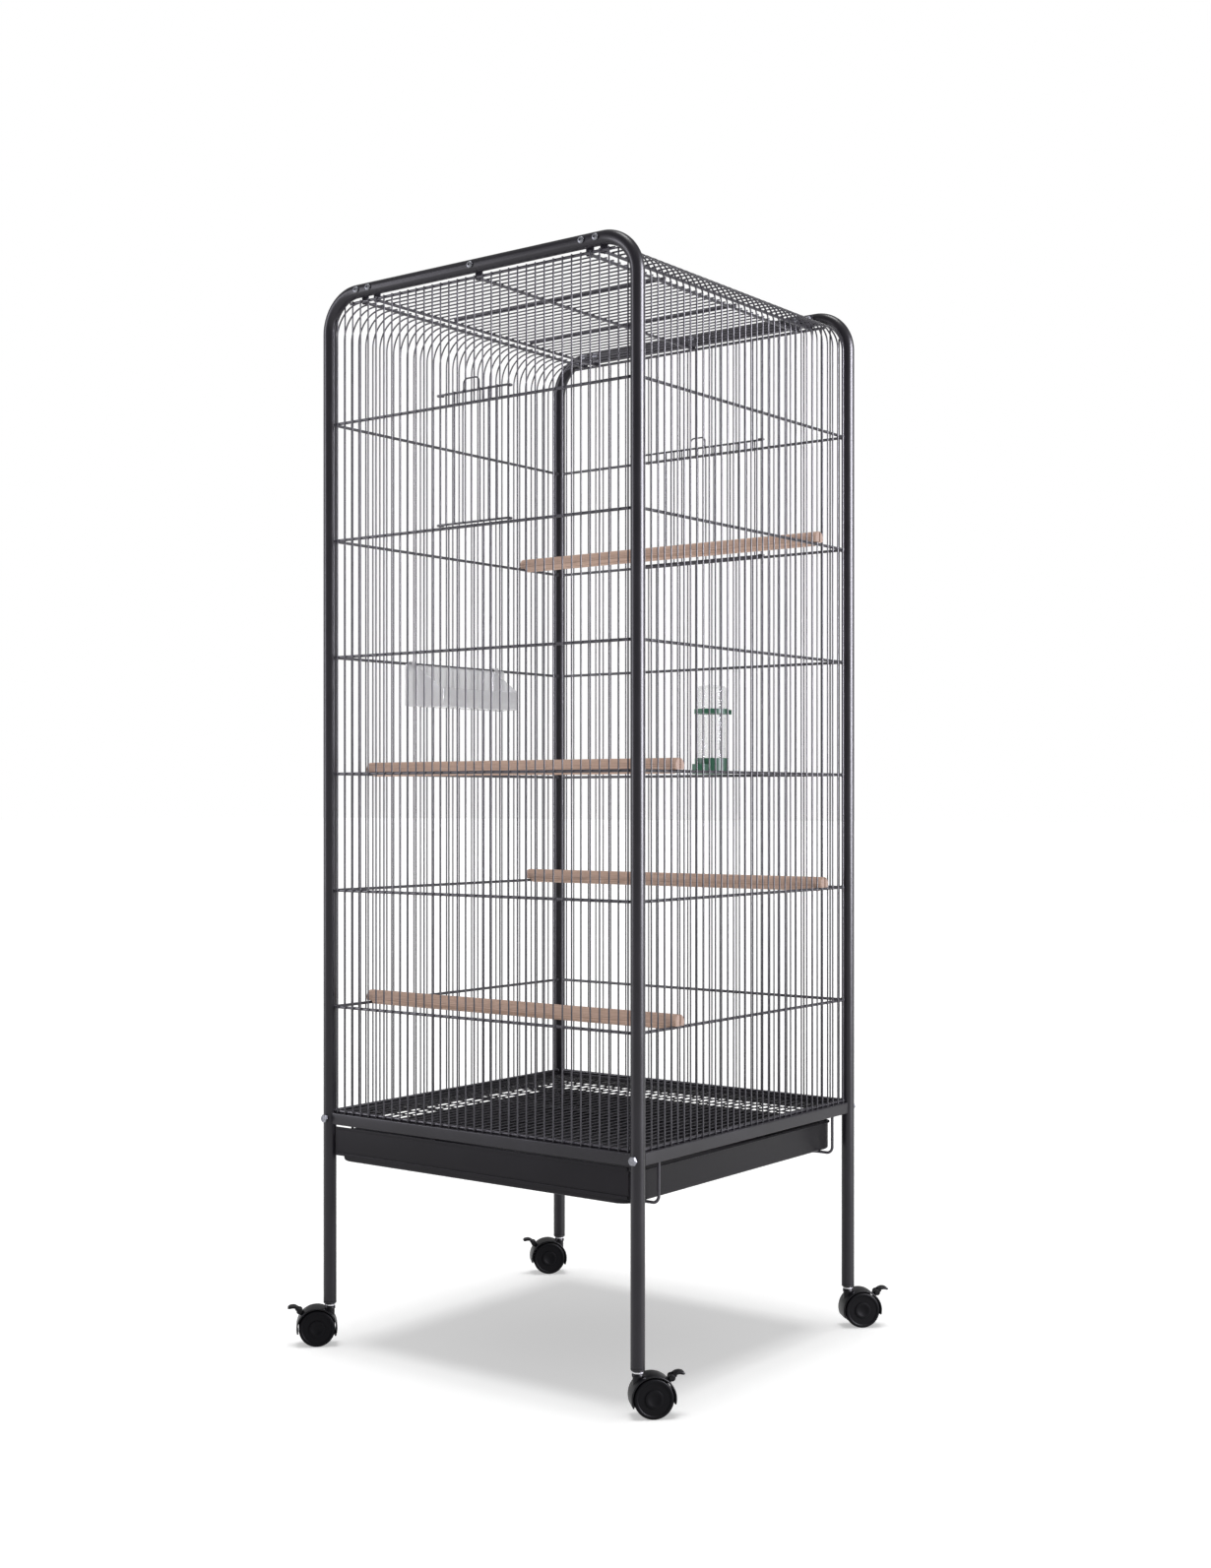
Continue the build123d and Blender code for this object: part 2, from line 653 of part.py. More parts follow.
def make_door_bar(guide, bar_y, z):
    """Door bar along X; each end turns round a guide upright and stops behind it."""
    bar_radius = DOOR_BAR_DIA / 2
    ring_radius = WIRE_RADIUS + DOOR_LOOP_CLEARANCE + bar_radius
    back_y = POST_Y - ring_radius
    points = []
    for end in (-1, 1):
        out_x = end * (guide + ring_radius)
        back_x = end * (guide - ring_radius)
        leg = [(back_x, back_y, z), (out_x, back_y, z), (out_x, bar_y, z)]
        points += leg if end < 0 else leg[::-1]
    return bent_rod(points, bar_radius + DOOR_LOOP_CLEARANCE / 2, DOOR_BAR_DIA)


def make_lift_loop(y, z):
    """Finger loop that stands on the top bar."""
    half = DOOR_LIFT_LOOP_WIDTH / 2
    low = z + DOOR_BAR_DIA / 2 + WELD_GAP
    high = z + DOOR_LIFT_LOOP_HEIGHT
    route = [(-half, y, low), (-half, y, high), (half, y, high), (half, y, low)]
    return bent_rod(route, DOOR_LIFT_LOOP_WIDTH / 4, DOOR_LIFT_LOOP_DIA)


# ---------------------------------------------------------------- perches
def make_perch(hoop, side, inset):
    """Round wooden perch: each end is slotted for an upright and cut to rest on a hoop."""
    y = side * (half_spaces(POST_Y) - inset) * PITCH_Y
    z = HOOPS[hoop] + PERCH_ABOVE_HOOP
    reach = POST_X + PERCH_OVERHANG
    bar = rod((-reach, y, z), (reach, y, z), PERCH_DIA)
    slot_half = WIRE_RADIUS + PERCH_SLOT_CLEARANCE
    slot_start = POST_X - WIRE_RADIUS - PERCH_SLOT_CLEARANCE
    rest_start = POST_X - HOOP_INSET - ROD_RADIUS - PERCH_SLOT_CLEARANCE
    rest_z = HOOPS[hoop] + ROD_RADIUS + PERCH_REST_GAP
    beyond = reach + PERCH_OVERHANG
    for end in (-1, 1):
        slot = (end * slot_start, end * beyond)
        rest = (end * rest_start, end * beyond)
        bar -= block(slot, (y - slot_half, y + slot_half), (z - PERCH_DIA, z + PERCH_DIA))
        bar -= block(rest, (y - PERCH_DIA, y + PERCH_DIA), (z - PERCH_DIA, rest_z))
    return bar


# ---------------------------------------------------------------- feeder
def make_feeder():
    """Clear trough inside the left panel, hung over a hoop by two hooks."""
    hoop_z = HOOPS[FEEDER_HOOP]
    back = -(POST_X - HOOP_INSET - ROD_RADIUS - FEEDER_PANEL_GAP)
    front = back + FEEDER_DEPTH
    top = hoop_z
    low = top - FEEDER_HEIGHT
    half = FEEDER_LENGTH / 2
    outer = block((back, front), (-half, half), (low, top))
    outer = fillet(outer.edges().filter_by(Axis.Z).sort_by(Axis.X)[-2:], FEEDER_CORNER_RADIUS)
    inner = block(
        (back + FEEDER_WALL, front - FEEDER_WALL),
        (-half + FEEDER_WALL, half - FEEDER_WALL),
        (low + FEEDER_WALL, top + FEEDER_HEIGHT),
    )
    inner = fillet(inner.edges().filter_by(Axis.Z).sort_by(Axis.X)[-2:], FEEDER_CORNER_RADIUS - FEEDER_WALL)
    corners = [(back, top), (front, top - FEEDER_FRONT_DROP), (front, top), (back, top + FEEDER_HEIGHT)]
    slope = Plane(origin=(0, half, 0), x_dir=(1, 0, 0), z_dir=(0, -1, 0)) * Polygon(*corners, align=None)
    trough = (outer - inner) - extrude(slope, amount=2 * half, dir=(0, -1, 0))
    plate_half = FEEDER_PLATE_LENGTH / 2
    trough += block((back, back + FEEDER_WALL), (-plate_half, plate_half), (low, top))
    for end in (-1, 1):
        trough += make_feeder_hook(back, hoop_z, end * (FEEDER_HOOK_SPACES + 0.5) * PITCH_Y)
    return trough


def make_feeder_hook(back, hoop_z, y):
    """Hook from the trough's back over the hoop and down between two uprights."""
    half = FEEDER_HOOK_WIDTH / 2
    over = hoop_z + ROD_RADIUS + FEEDER_PANEL_GAP
    far = back - FEEDER_PANEL_GAP - ROD_DIA - FEEDER_PANEL_GAP
    outside = far - FEEDER_HOOK_THICKNESS
    inside = back + FEEDER_WALL
    low = hoop_z - FEEDER_HOOK_LIP
    top = over + FEEDER_HOOK_THICKNESS
    width = (y - half, y + half)
    stem = block((back, inside), width, (low, top))
    bridge = block((outside, inside), width, (over, top))
    lip = block((outside, far), width, (low, top))
    return stem + bridge + lip


# ---------------------------------------------------------------- drinker
def drinker_centre():
    """X and Y of the drinker's axis, in front of the gap that its clip goes through."""
    outer = DRINKER_TUBE_DIA / 2 + DRINKER_CLEARANCE + DRINKER_RING_WALL
    y = POST_Y - HOOP_INSET - ROD_RADIUS - DRINKER_PANEL_GAP - outer
    return (DRINKER_SPACE_FROM_MIDDLE + 0.5) * PITCH_X, y


def drinker_cup_bottom():
    """Height of the underside of the drinker's cup."""
    return HOOPS[DRINKER_HOOP] + DRINKER_CUP_BOTTOM_ABOVE_HOOP


def make_drinker_tube():
    """Clear water tube, closed and rounded at the top and open below."""
    x, y = drinker_centre()
    low = drinker_cup_bottom() + DRINKER_CUP_WALL + DRINKER_TUBE_LIFT
    radius = DRINKER_TUBE_DIA / 2
    outer = rod((x, y, low), (x, y, low + DRINKER_TUBE_LENGTH), DRINKER_TUBE_DIA)
    outer = fillet(outer.edges().sort_by(Axis.Z)[-1], DRINKER_TUBE_DOME)
    inner_top = low + DRINKER_TUBE_LENGTH - DRINKER_TUBE_WALL
    inner = rod((x, y, low - 1), (x, y, inner_top), 2 * (radius - DRINKER_TUBE_WALL))
    inner = fillet(inner.edges().sort_by(Axis.Z)[-1], DRINKER_TUBE_DOME - DRINKER_TUBE_WALL)
    return outer - inner


def make_drinker_cup():
    """Cup round the foot of the tube, with a drinking spout towards the cage."""
    x, y = drinker_centre()
    low = drinker_cup_bottom()
    top = low + DRINKER_CUP_HEIGHT
    inner_radius = DRINKER_TUBE_DIA / 2 + DRINKER_CUP_FIT
    outer_radius = inner_radius + DRINKER_CUP_WALL
    half = DRINKER_SPOUT_WIDTH / 2
    tip = y - outer_radius - DRINKER_SPOUT_LENGTH
    spout = block((x - half, x + half), (tip, y), (low, low + DRINKER_SPOUT_HEIGHT))
    spout = fillet(spout.edges().filter_by(Axis.Z).sort_by(Axis.Y)[:2], half - DRINKER_CUP_WALL)
    bowl = block(
        (x - half + DRINKER_CUP_WALL, x + half - DRINKER_CUP_WALL),
        (tip + DRINKER_CUP_WALL, y),
        (low + DRINKER_CUP_WALL, low + DRINKER_SPOUT_HEIGHT + 1),
    )
    bowl = fillet(bowl.edges().filter_by(Axis.Z).sort_by(Axis.Y)[:2], half - 2 * DRINKER_CUP_WALL)
    wall = rod((x, y, low), (x, y, top), 2 * outer_radius)
    well = rod((x, y, low + DRINKER_CUP_WALL), (x, y, top + 1), 2 * inner_radius)
    tube_foot = low + DRINKER_CUP_WALL + DRINKER_TUBE_LIFT
    mouth = bowl & block((x - half, x + half), (tip, y), (low, tube_foot))
    front_bowl = bowl - rod((x, y, low), (x, y, top + 1), 2 * outer_radius)
    return (wall + spout) - well - mouth - front_bowl


def make_drinker_holder():
    """Ring round the tube, held by a T-shaped clip between two uprights of the rear panel."""
    x, y = drinker_centre()
    inner = DRINKER_TUBE_DIA / 2 + DRINKER_CLEARANCE
    outer = inner + DRINKER_RING_WALL
    low = drinker_cup_bottom() + DRINKER_CUP_HEIGHT + DRINKER_RING_ABOVE_CUP
    high = low + DRINKER_RING_HEIGHT
    half = DRINKER_CLIP_WIDTH / 2
    bar_half = DRINKER_CLIP_BAR / 2
    bar_y = POST_Y + WIRE_RADIUS + DRINKER_CLEARANCE
    ring = rod((x, y, low), (x, y, high), 2 * outer)
    neck = block((x - half, x + half), (y + inner, bar_y), (low, high))
    bar = block((x - bar_half, x + bar_half), (bar_y, bar_y + DRINKER_CLIP_THICKNESS), (low, high))
    return (ring + neck + bar) - rod((x, y, low - 1), (x, y, high + 1), 2 * inner)


# ---------------------------------------------------------------- casters
def socket_top():
    """Height of the top of the caster socket, under the stem's collar."""
    return POST_FOOT_HEIGHT - PLUG_FLANGE - STEM_COLLAR_HEIGHT - 2 * SOCKET_GAP


def make_plug():
    """Post plug: a flange under the tube and a body inside it, bored for the stem."""
    inner_dia = TUBE_DIA - 2 * TUBE_WALL - 2 * PLUG_FIT
    low = POST_FOOT_HEIGHT - PLUG_FLANGE
    flange = rod((0, 0, low), (0, 0, POST_FOOT_HEIGHT), TUBE_DIA)
    flange = fillet(flange.edges().sort_by(Axis.Z)[0], PLUG_FLANGE / 2)
    body = rod((0, 0, low), (0, 0, POST_FOOT_HEIGHT + PLUG_DEPTH), inner_dia)
    return (flange + body) - rod((0, 0, 0), (0, 0, 2 * POST_FOOT_HEIGHT), STEM_DIA + 2 * STEM_FIT)


def make_stem():
    """Steel stem with a collar between the socket and the plug."""
    collar_low = socket_top() + SOCKET_GAP
    collar_top = collar_low + STEM_COLLAR_HEIGHT
    pin = rod((0, 0, collar_low - STEM_BELOW_COLLAR), (0, 0, collar_top + STEM_IN_PLUG), STEM_DIA)
    return pin + rod((0, 0, collar_low), (0, 0, collar_top), STEM_COLLAR_DIA)


def across(x, z, half_width, dia):
    """Round bar along the axle direction, centred on the middle plane of the caster."""
    return rod((x, -half_width, z), (x, half_width, z), dia)


def brake_pivot():
    """X and Z of the brake lever's pin."""
    angle = math.radians(BRAKE_PIVOT_ANGLE)
    return (
        CASTER_TRAIL + BRAKE_PIVOT_RADIUS * math.cos(angle),
        WHEEL_RADIUS + BRAKE_PIVOT_RADIUS * math.sin(angle),
    )


def caster_half_width():
    """Half the width over the two wheels."""
    return WEB_WIDTH / 2 + WHEEL_GAP + WHEEL_WIDTH


def make_hood():
    """Caster body: web between the wheels, stem socket, round shield and brake ear."""
    top = socket_top()
    half = caster_half_width()
    inner = WHEEL_RADIUS + SHIELD_INNER_GAP
    outer = SHIELD_RADIUS
    web = across(CASTER_TRAIL, WHEEL_RADIUS, WEB_WIDTH / 2, 2 * WEB_RADIUS)
    web &= block((-WHEEL_DIA, WHEEL_DIA * 2), (-WHEEL_DIA, WHEEL_DIA), (WEB_FLOOR_GAP, WHEEL_DIA))
    socket = rod((0, 0, WEB_FLOOR_GAP), (0, 0, top), WEB_WIDTH)
    web_span = (-WEB_WIDTH / 2, WEB_WIDTH / 2)
    bridge = block((0, CASTER_TRAIL), web_span, (WEB_FLOOR_GAP, WHEEL_RADIUS + inner))
    bridge &= across(CASTER_TRAIL, WHEEL_RADIUS, WEB_WIDTH, 2 * outer)
    full_ring = across(CASTER_TRAIL, WHEEL_RADIUS, half, 2 * outer) - across(
        CASTER_TRAIL, WHEEL_RADIUS, half + 1, 2 * inner
    )
    shield = full_ring & shield_sector(2 * outer, half + 1)
    crown = block((0, CASTER_TRAIL), web_span, (WHEEL_RADIUS, WHEEL_RADIUS + outer))
    crown &= across(CASTER_TRAIL, WHEEL_RADIUS, WEB_WIDTH, 2 * outer)
    pivot_x, pivot_z = brake_pivot()
    ear = across(pivot_x, pivot_z, BRAKE_EAR_WIDTH / 2, 2 * BRAKE_EAR_RADIUS)
    arm = Pos(CASTER_TRAIL, 0, WHEEL_RADIUS) * Rot(0, -BRAKE_PIVOT_ANGLE, 0) * block(
        (inner, BRAKE_PIVOT_RADIUS),
        (-BRAKE_EAR_WIDTH / 2, BRAKE_EAR_WIDTH / 2),
        (-BRAKE_EAR_RADIUS, BRAKE_EAR_RADIUS),
    )
    hood = web + socket + bridge + shield + crown + ear + arm
    hood -= rod((0, 0, 0), (0, 0, top + 1), STEM_DIA + 2 * STEM_FIT)
    hood -= across(CASTER_TRAIL, WHEEL_RADIUS, WEB_WIDTH, AXLE_DIA)
    return hood - across(pivot_x, pivot_z, WEB_WIDTH, BRAKE_PIN_DIA + 2 * AXLE_FIT)


def shield_sector(reach, half):
    """Wedge around the axle that keeps only the covered part of the shield."""
    steps = 6
    angles = [SHIELD_START + (SHIELD_END - SHIELD_START) * i / steps for i in range(steps + 1)]
    corners = [(CASTER_TRAIL, WHEEL_RADIUS)]
    for angle in angles:
        turn = math.radians(angle)
        corners.append((CASTER_TRAIL + reach * math.cos(turn), WHEEL_RADIUS + reach * math.sin(turn)))
    outline = Plane(origin=(0, half, 0), x_dir=(1, 0, 0), z_dir=(0, -1, 0)) * Polygon(*corners, align=None)
    return extrude(outline, amount=2 * half, dir=(0, -1, 0))


def make_wheel(side):
    """Solid wheel with a rounded tread, a recessed outer face and a raised hub."""
    inner = side * (WEB_WIDTH / 2 + WHEEL_GAP)
    outer = inner + side * WHEEL_WIDTH
    centre = (CASTER_TRAIL, WHEEL_RADIUS)
    wheel = rod((centre[0], inner, centre[1]), (centre[0], outer, centre[1]), WHEEL_DIA)
    wheel = fillet(wheel.edges().filter_by(GeomType.CIRCLE), WHEEL_EDGE_RADIUS)
    floor = outer - side * WHEEL_RECESS_DEPTH
    recess = rod((centre[0], floor, centre[1]), (centre[0], outer + side, centre[1]), WHEEL_RECESS_DIA)
    recess -= rod((centre[0], floor, centre[1]), (centre[0], outer + side, centre[1]), WHEEL_HUB_DIA)
    bore = across(centre[0], centre[1], WHEEL_DIA, AXLE_DIA + 2 * AXLE_FIT)
    return wheel - recess - bore


def make_axle():
    """Axle through the web and both wheels."""
    return across(CASTER_TRAIL, WHEEL_RADIUS, caster_half_width(), AXLE_DIA)


def make_brake():
    """Brake lever: a curved arm with a rounded tip, cheeks astride the ear and a moulded pin."""
    pivot_x, pivot_z = brake_pivot()
    half = BRAKE_LEVER_WIDTH / 2
    tip = (pivot_x + BRAKE_ARM_REACH, 0, pivot_z + BRAKE_ARM_RISE)
    middle = (
        pivot_x + BRAKE_ARM_REACH / 2 - BRAKE_ARM_BULGE / 2,
        0,
        pivot_z + BRAKE_ARM_RISE / 2 + BRAKE_ARM_BULGE,
    )
    curve = ThreePointArc((pivot_x, 0, pivot_z), middle, tip)
    section = Plane(origin=curve @ 0, x_dir=(0, 1, 0), z_dir=curve % 0)
    arm = sweep(section * Rectangle(BRAKE_LEVER_WIDTH, BRAKE_ARM_THICKNESS), path=curve)
    arm += across(tip[0], tip[2], half, BRAKE_ARM_THICKNESS)
    lever = arm + across(pivot_x, pivot_z, half, 2 * BRAKE_CHEEK_RADIUS)
    ear_room = BRAKE_EAR_WIDTH / 2 + BRAKE_SIDE_GAP
    lever -= across(pivot_x, pivot_z, ear_room, 2 * (BRAKE_CHEEK_RADIUS + BRAKE_SIDE_GAP))
    return lever + across(pivot_x, pivot_z, half, BRAKE_PIN_DIA)


def caster_places():
    """Name, X, Y and turn of each caster; the two on each side trail away from the cage's middle."""
    return [
        ("front_left", -POST_X, -POST_Y, 225.0),
        ("front_right", POST_X, -POST_Y, 45.0),
        ("rear_right", POST_X, POST_Y, 45.0),
        ("rear_left", -POST_X, POST_Y, 225.0),
    ]


def save_casters():
    """Write the plug, stem, hood, axle, wheels and brake lever of each of the four posts."""
    moving = {
        "hood": make_hood(),
        "axle": make_axle(),
        "wheel_a": make_wheel(-1),
        "wheel_b": make_wheel(1),
        "brake": make_brake(),
    }
    for corner, x, y, turn in caster_places():
        save("plug_" + corner, Pos(x, y, 0) * make_plug())
        save("stem_" + corner, Pos(x, y, 0) * make_stem())
        for name, shape in moving.items():
            save("caster_" + name + "_" + corner, Pos(x, y, 0) * Rot(0, 0, turn) * shape)


# ---------------------------------------------------------------- all nodes
def main():
    """Write every node of the cage."""
    os.makedirs("parts", exist_ok=True)
    save("front_arch", make_arch(-1))
    save("rear_arch", make_arch(1))
    save("lug_bolts", make_lug_bolts())
    save("lug_nuts", make_lug_nuts())
    save("front_rail", make_cross_rail(-1))
    save("rear_rail", make_cross_rail(1))
    save("left_rail", make_side_rail(-1))
    save("right_rail", make_side_rail(1))
    save("rail_bolts", make_rail_bolts())
    save("front_panel", make_end_panel(-1, FRONT_DOOR_HALF_SPACES))
    save("rear_panel", make_end_panel(1, REAR_DOOR_HALF_SPACES))
    save("left_panel", make_side_panel(-1))
    save("right_panel", make_side_panel(1))
    save("roof_panel", make_roof_panel())
    save("floor_grid", make_floor_grid())
    save("grid_lugs", make_grid_lugs())
    save("tray_pan", make_tray())
    save("tray_front", make_tray_front())
    save("left_runner", make_runner(-1))
    save("right_runner", make_runner(1))
    save("front_door", make_door(-1, FRONT_DOOR_HALF_SPACES))
    save("rear_door", make_door(1, REAR_DOOR_HALF_SPACES))
    for number, (hoop, side, inset) in enumerate(PERCH_PLACES, start=1):
        save(f"perch_{number}", make_perch(hoop, side, inset))
    save("feeder_trough", make_feeder())
    save("drinker_tube", make_drinker_tube())
    save("drinker_cup", make_drinker_cup())
    save("drinker_holder", make_drinker_holder())
    save_casters()


main()
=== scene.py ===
"""Looks of a wire bird cage on a wheeled tube stand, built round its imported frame. Metres, +Z up."""

import json
import logging
import math
from dataclasses import dataclass, field
from enum import Enum
from typing import Callable, Optional, Sequence, Union

import bmesh
import bpy
import numpy as np
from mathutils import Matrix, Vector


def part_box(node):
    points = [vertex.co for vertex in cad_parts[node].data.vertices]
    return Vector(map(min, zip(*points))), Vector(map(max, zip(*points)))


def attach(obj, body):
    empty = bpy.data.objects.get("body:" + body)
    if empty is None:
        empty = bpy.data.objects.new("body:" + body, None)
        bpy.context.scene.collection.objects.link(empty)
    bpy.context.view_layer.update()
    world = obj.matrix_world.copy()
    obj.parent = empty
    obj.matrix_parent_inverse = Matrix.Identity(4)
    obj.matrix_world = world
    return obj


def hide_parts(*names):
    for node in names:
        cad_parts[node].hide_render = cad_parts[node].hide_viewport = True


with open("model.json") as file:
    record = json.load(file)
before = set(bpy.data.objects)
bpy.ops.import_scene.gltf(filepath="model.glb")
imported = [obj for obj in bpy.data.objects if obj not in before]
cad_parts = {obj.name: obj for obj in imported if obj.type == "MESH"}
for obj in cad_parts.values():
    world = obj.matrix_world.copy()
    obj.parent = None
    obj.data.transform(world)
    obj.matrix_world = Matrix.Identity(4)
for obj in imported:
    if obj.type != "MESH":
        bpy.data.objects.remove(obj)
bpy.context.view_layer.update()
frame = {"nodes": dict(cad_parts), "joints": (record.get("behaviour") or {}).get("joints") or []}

Array = np.ndarray
Point = tuple[float, float, float]
Colour = tuple[float, float, float]

LOG = logging.getLogger("cage")
SMOOTH_ANGLE = math.radians(38)
PERCH_COUNT = 4
FEEDER_HOOP = 3


class Corner(Enum):
    """The four posts, each with its side along X and along Y."""

    FRONT_LEFT = ("front_left", -1, -1)
    FRONT_RIGHT = ("front_right", 1, -1)
    REAR_RIGHT = ("rear_right", 1, 1)
    REAR_LEFT = ("rear_left", -1, 1)

    @property
    def label(self) -> str:
        """Name of the post in node and body names."""
        return self.value[0]


class Side(Enum):
    """An end of the cage along one axis."""

    LOW = -1
    HIGH = 1

    @property
    def along_x(self) -> str:
        """Its name where the axis is X."""
        return "left" if self is Side.LOW else "right"

    @property
    def along_y(self) -> str:
        """Its name where the axis is Y."""
        return "front" if self is Side.LOW else "rear"


# ---- surfaces
def unit(vectors: Array) -> Array:
    """Scale each vector to length one.

    Args:
        vectors: one vector, or an array with vectors in its last axis.

    Returns:
        The same directions with length one.
    """
    return vectors / np.linalg.norm(vectors, axis=-1, keepdims=True)


def circle(sides: int) -> Array:
    """Cosines and sines of evenly spaced turns.

    Args:
        sides: number of points.

    Returns:
        An array of that many (cosine, sine) pairs.
    """
    turns = np.arange(sides) * 2 * math.pi / sides
    return np.stack([np.cos(turns), np.sin(turns)], axis=1)


def rounded_rectangle(half_x: float, half_y: float, radius: float, steps: int = 6) -> Array:
    """Outline of a rectangle with round corners, counter-clockwise.

    Each corner is a quarter circle: its centre is the corner moved in by the radius both ways.

    Args:
        half_x: half the width.
        half_y: half the height.
        radius: radius of the corners.
        steps: pieces in each corner's arc.

    Returns:
        An array of (x, y) points, four times (steps + 1) long.
    """
    turns = np.linspace(0, math.pi / 2, steps + 1)
    outline = []
    for quarter, (sign_x, sign_y) in enumerate(((1, 1), (-1, 1), (-1, -1), (1, -1))):
        angle = turns + quarter * math.pi / 2
        centre = np.array([sign_x * (half_x - radius), sign_y * (half_y - radius)])
        outline.append(centre + radius * np.stack([np.cos(angle), np.sin(angle)], axis=1))
    return np.concatenate(outline)


def bent_path(points: Sequence[Point], radius: float, steps: int = 10) -> Array:
    """Straight runs joined by tangent arcs.

    At a corner that turns by an angle, an arc of the radius touches both runs at radius times the
    tangent of half the turn from the corner. Its points come from turning the first touch point
    about the arc's centre.

    Args:
        points: the corners of the route, with its two ends.
        radius: radius of every bend.
        steps: pieces in each arc.

    Returns:
        An array of points along the path.
    """
    route = np.array(points, float)
    path = [route[:1]]
    for before, corner, after in zip(route[:-2], route[1:-1], route[2:]):
        arriving = unit(corner - before)
        leaving = unit(after - corner)
        turn = math.acos(float(np.clip(arriving @ leaving, -1, 1)))
        touch = corner - arriving * radius * math.tan(turn / 2)
        inward = unit(leaving - arriving * (arriving @ leaving))
        angles = np.linspace(0, turn, steps + 1)[:, None]
        path.append(touch + radius * (inward * (1 - np.cos(angles)) + arriving * np.sin(angles)))
    path.append(route[-1:])
    return np.concatenate(path)


class Skin:
    """The surfaces of one piece, gathered before they become a mesh."""

    def __init__(self) -> None:
        """Start with no surface."""
        self.points: list[Array] = []
        self.quads: list[Array] = []
        self.tris: list[Array] = []
        self.count = 0

    def add(self, points: Array, quads: Array, tris: Optional[Array] = None) -> None:
        """Add points with the faces between them.

        Args:
            points: (n, 3) places.
            quads: (k, 4) corner numbers, counted from the first of these points.
            tris: (k, 3) corner numbers, counted likewise.
        """
        self.points.append(points.reshape(-1, 3))
        self.quads.append(quads + self.count)
        if tris is not None:
            self.tris.append(tris + self.count)
        self.count += len(self.points[-1])

    def stack(self, rings: Array, closed: bool = False, first: Optional[Array] = None,
              last: Optional[Array] = None) -> None:
        """Join closed rings of points one after another.

        Face (i, j) runs from ring i to ring i + 1 and from point j to point j + 1, round and round.

        Args:
            rings: (rows, points, 3) array of closed rings.
            closed: the last ring joins the first.
            first: a point that closes the first ring with a fan of triangles.
            last: a point that closes the last ring likewise.
        """
        rows, sides = rings.shape[:2]
        pairs = rows if closed else rows - 1
        row, side = np.meshgrid(np.arange(pairs), np.arange(sides), indexing="ij")
        following, beside = (row + 1) % rows, (side + 1) % sides
        corners = [row * sides + side, row * sides + beside,
                   following * sides + beside, following * sides + side]
        quads = np.stack([corner.ravel() for corner in corners], axis=1)
        points = [rings.reshape(-1, 3)]
        tris = []
        turn = np.arange(sides)
        for cap, start in ((first, 0), (last, (rows - 1) * sides)):
            if cap is not None:
                pole = sum(len(group) for group in points)
                points.append(np.array(cap, float).reshape(1, 3))
                edge = np.stack([start + turn, start + (turn + 1) % sides], axis=1)
                tris.append(np.concatenate([np.full((sides, 1), pole), edge], axis=1))
        self.add(np.concatenate(points), quads, np.concatenate(tris) if tris else None)

    def tube(self, path: Array, radius: Union[float, Array], across: Point, sides: int = 12,
             closed: bool = False, bevel: float = 0.0) -> None:
        """Round bar along a path: each ring is a circle square to the path.

        The circle's first axis is the given direction made square to the path, and its second is the
        cross product of the two, so rings never twist.

        Args:
            path: (n, 3) points of the centre line.
            radius: radius of the bar, or one for each point.
            across: a direction that is never along the path.
            sides: points in each ring.
            closed: the path is a loop.
            bevel: size of the small chamfer at each end of an open bar.
        """
        radii = np.broadcast_to(np.asarray(radius, float), (len(path),)).copy()
        if not closed and bevel > 0:
            start = path[0] + unit(path[1] - path[0]) * bevel
            end = path[-1] + unit(path[-2] - path[-1]) * bevel
            path = np.concatenate([path[:1], [start], path[1:-1], [end], path[-1:]])
            radii = np.concatenate([radii[:1] - bevel, radii[:1], radii[1:-1],
                                    radii[-1:], radii[-1:] - bevel])
        if closed:
            along = unit(np.roll(path, -1, axis=0) - np.roll(path, 1, axis=0))
        else:
            along = unit(np.gradient(path, axis=0))
        axis = np.broadcast_to(np.asarray(across, float), path.shape)
        first = unit(axis - along * np.sum(axis * along, axis=1, keepdims=True))
        second = np.cross(along, first)
        turn = circle(sides)
        ring = turn[None, :, :1] * first[:, None] + turn[None, :, 1:] * second[:, None]
        rings = path[:, None] + ring * radii[:, None, None]
        if closed:
            self.stack(rings, closed=True)
        else:
            self.stack(rings, first=path[0], last=path[-1])

    def bars(self, starts: Array, ends: Array, radius: float, sides: int = 10, bevel: float = 0.0003) -> None:
        """Many parallel straight round bars at once, each with four rings: chamfer, body, body, chamfer.

        Args:
            starts: (n, 3) first ends.
            ends: (n, 3) other ends; every bar points the same way.
            radius: radius of the bars.
            sides: points in each ring.
            bevel: size of the chamfer at the ends.
        """
        along = unit(ends[0] - starts[0])
        helper = np.array([1.0, 0.0, 0.0]) if abs(along[0]) < 0.5 else np.array([0.0, 1.0, 0.0])
        first = unit(np.cross(along, helper))
        second = np.cross(along, first)
        turn = circle(sides)
        ring = turn[:, :1] * first + turn[:, 1:] * second
        shrink = np.array([radius - bevel, radius, radius, radius - bevel])
        shift = np.array([0.0, bevel, -bevel, 0.0])
        base = np.stack([starts, starts, ends, ends], axis=1) + shift[:, None] * along
        rings = base[:, :, None] + shrink[:, None, None] * ring
        one = Skin()
        one.stack(np.zeros((4, sides, 3)), first=np.zeros(3), last=np.zeros(3))
        points = np.concatenate([rings.reshape(len(starts), -1, 3), starts[:, None], ends[:, None]], axis=1)
        self.repeat(points, one.quads[0], one.tris[0])

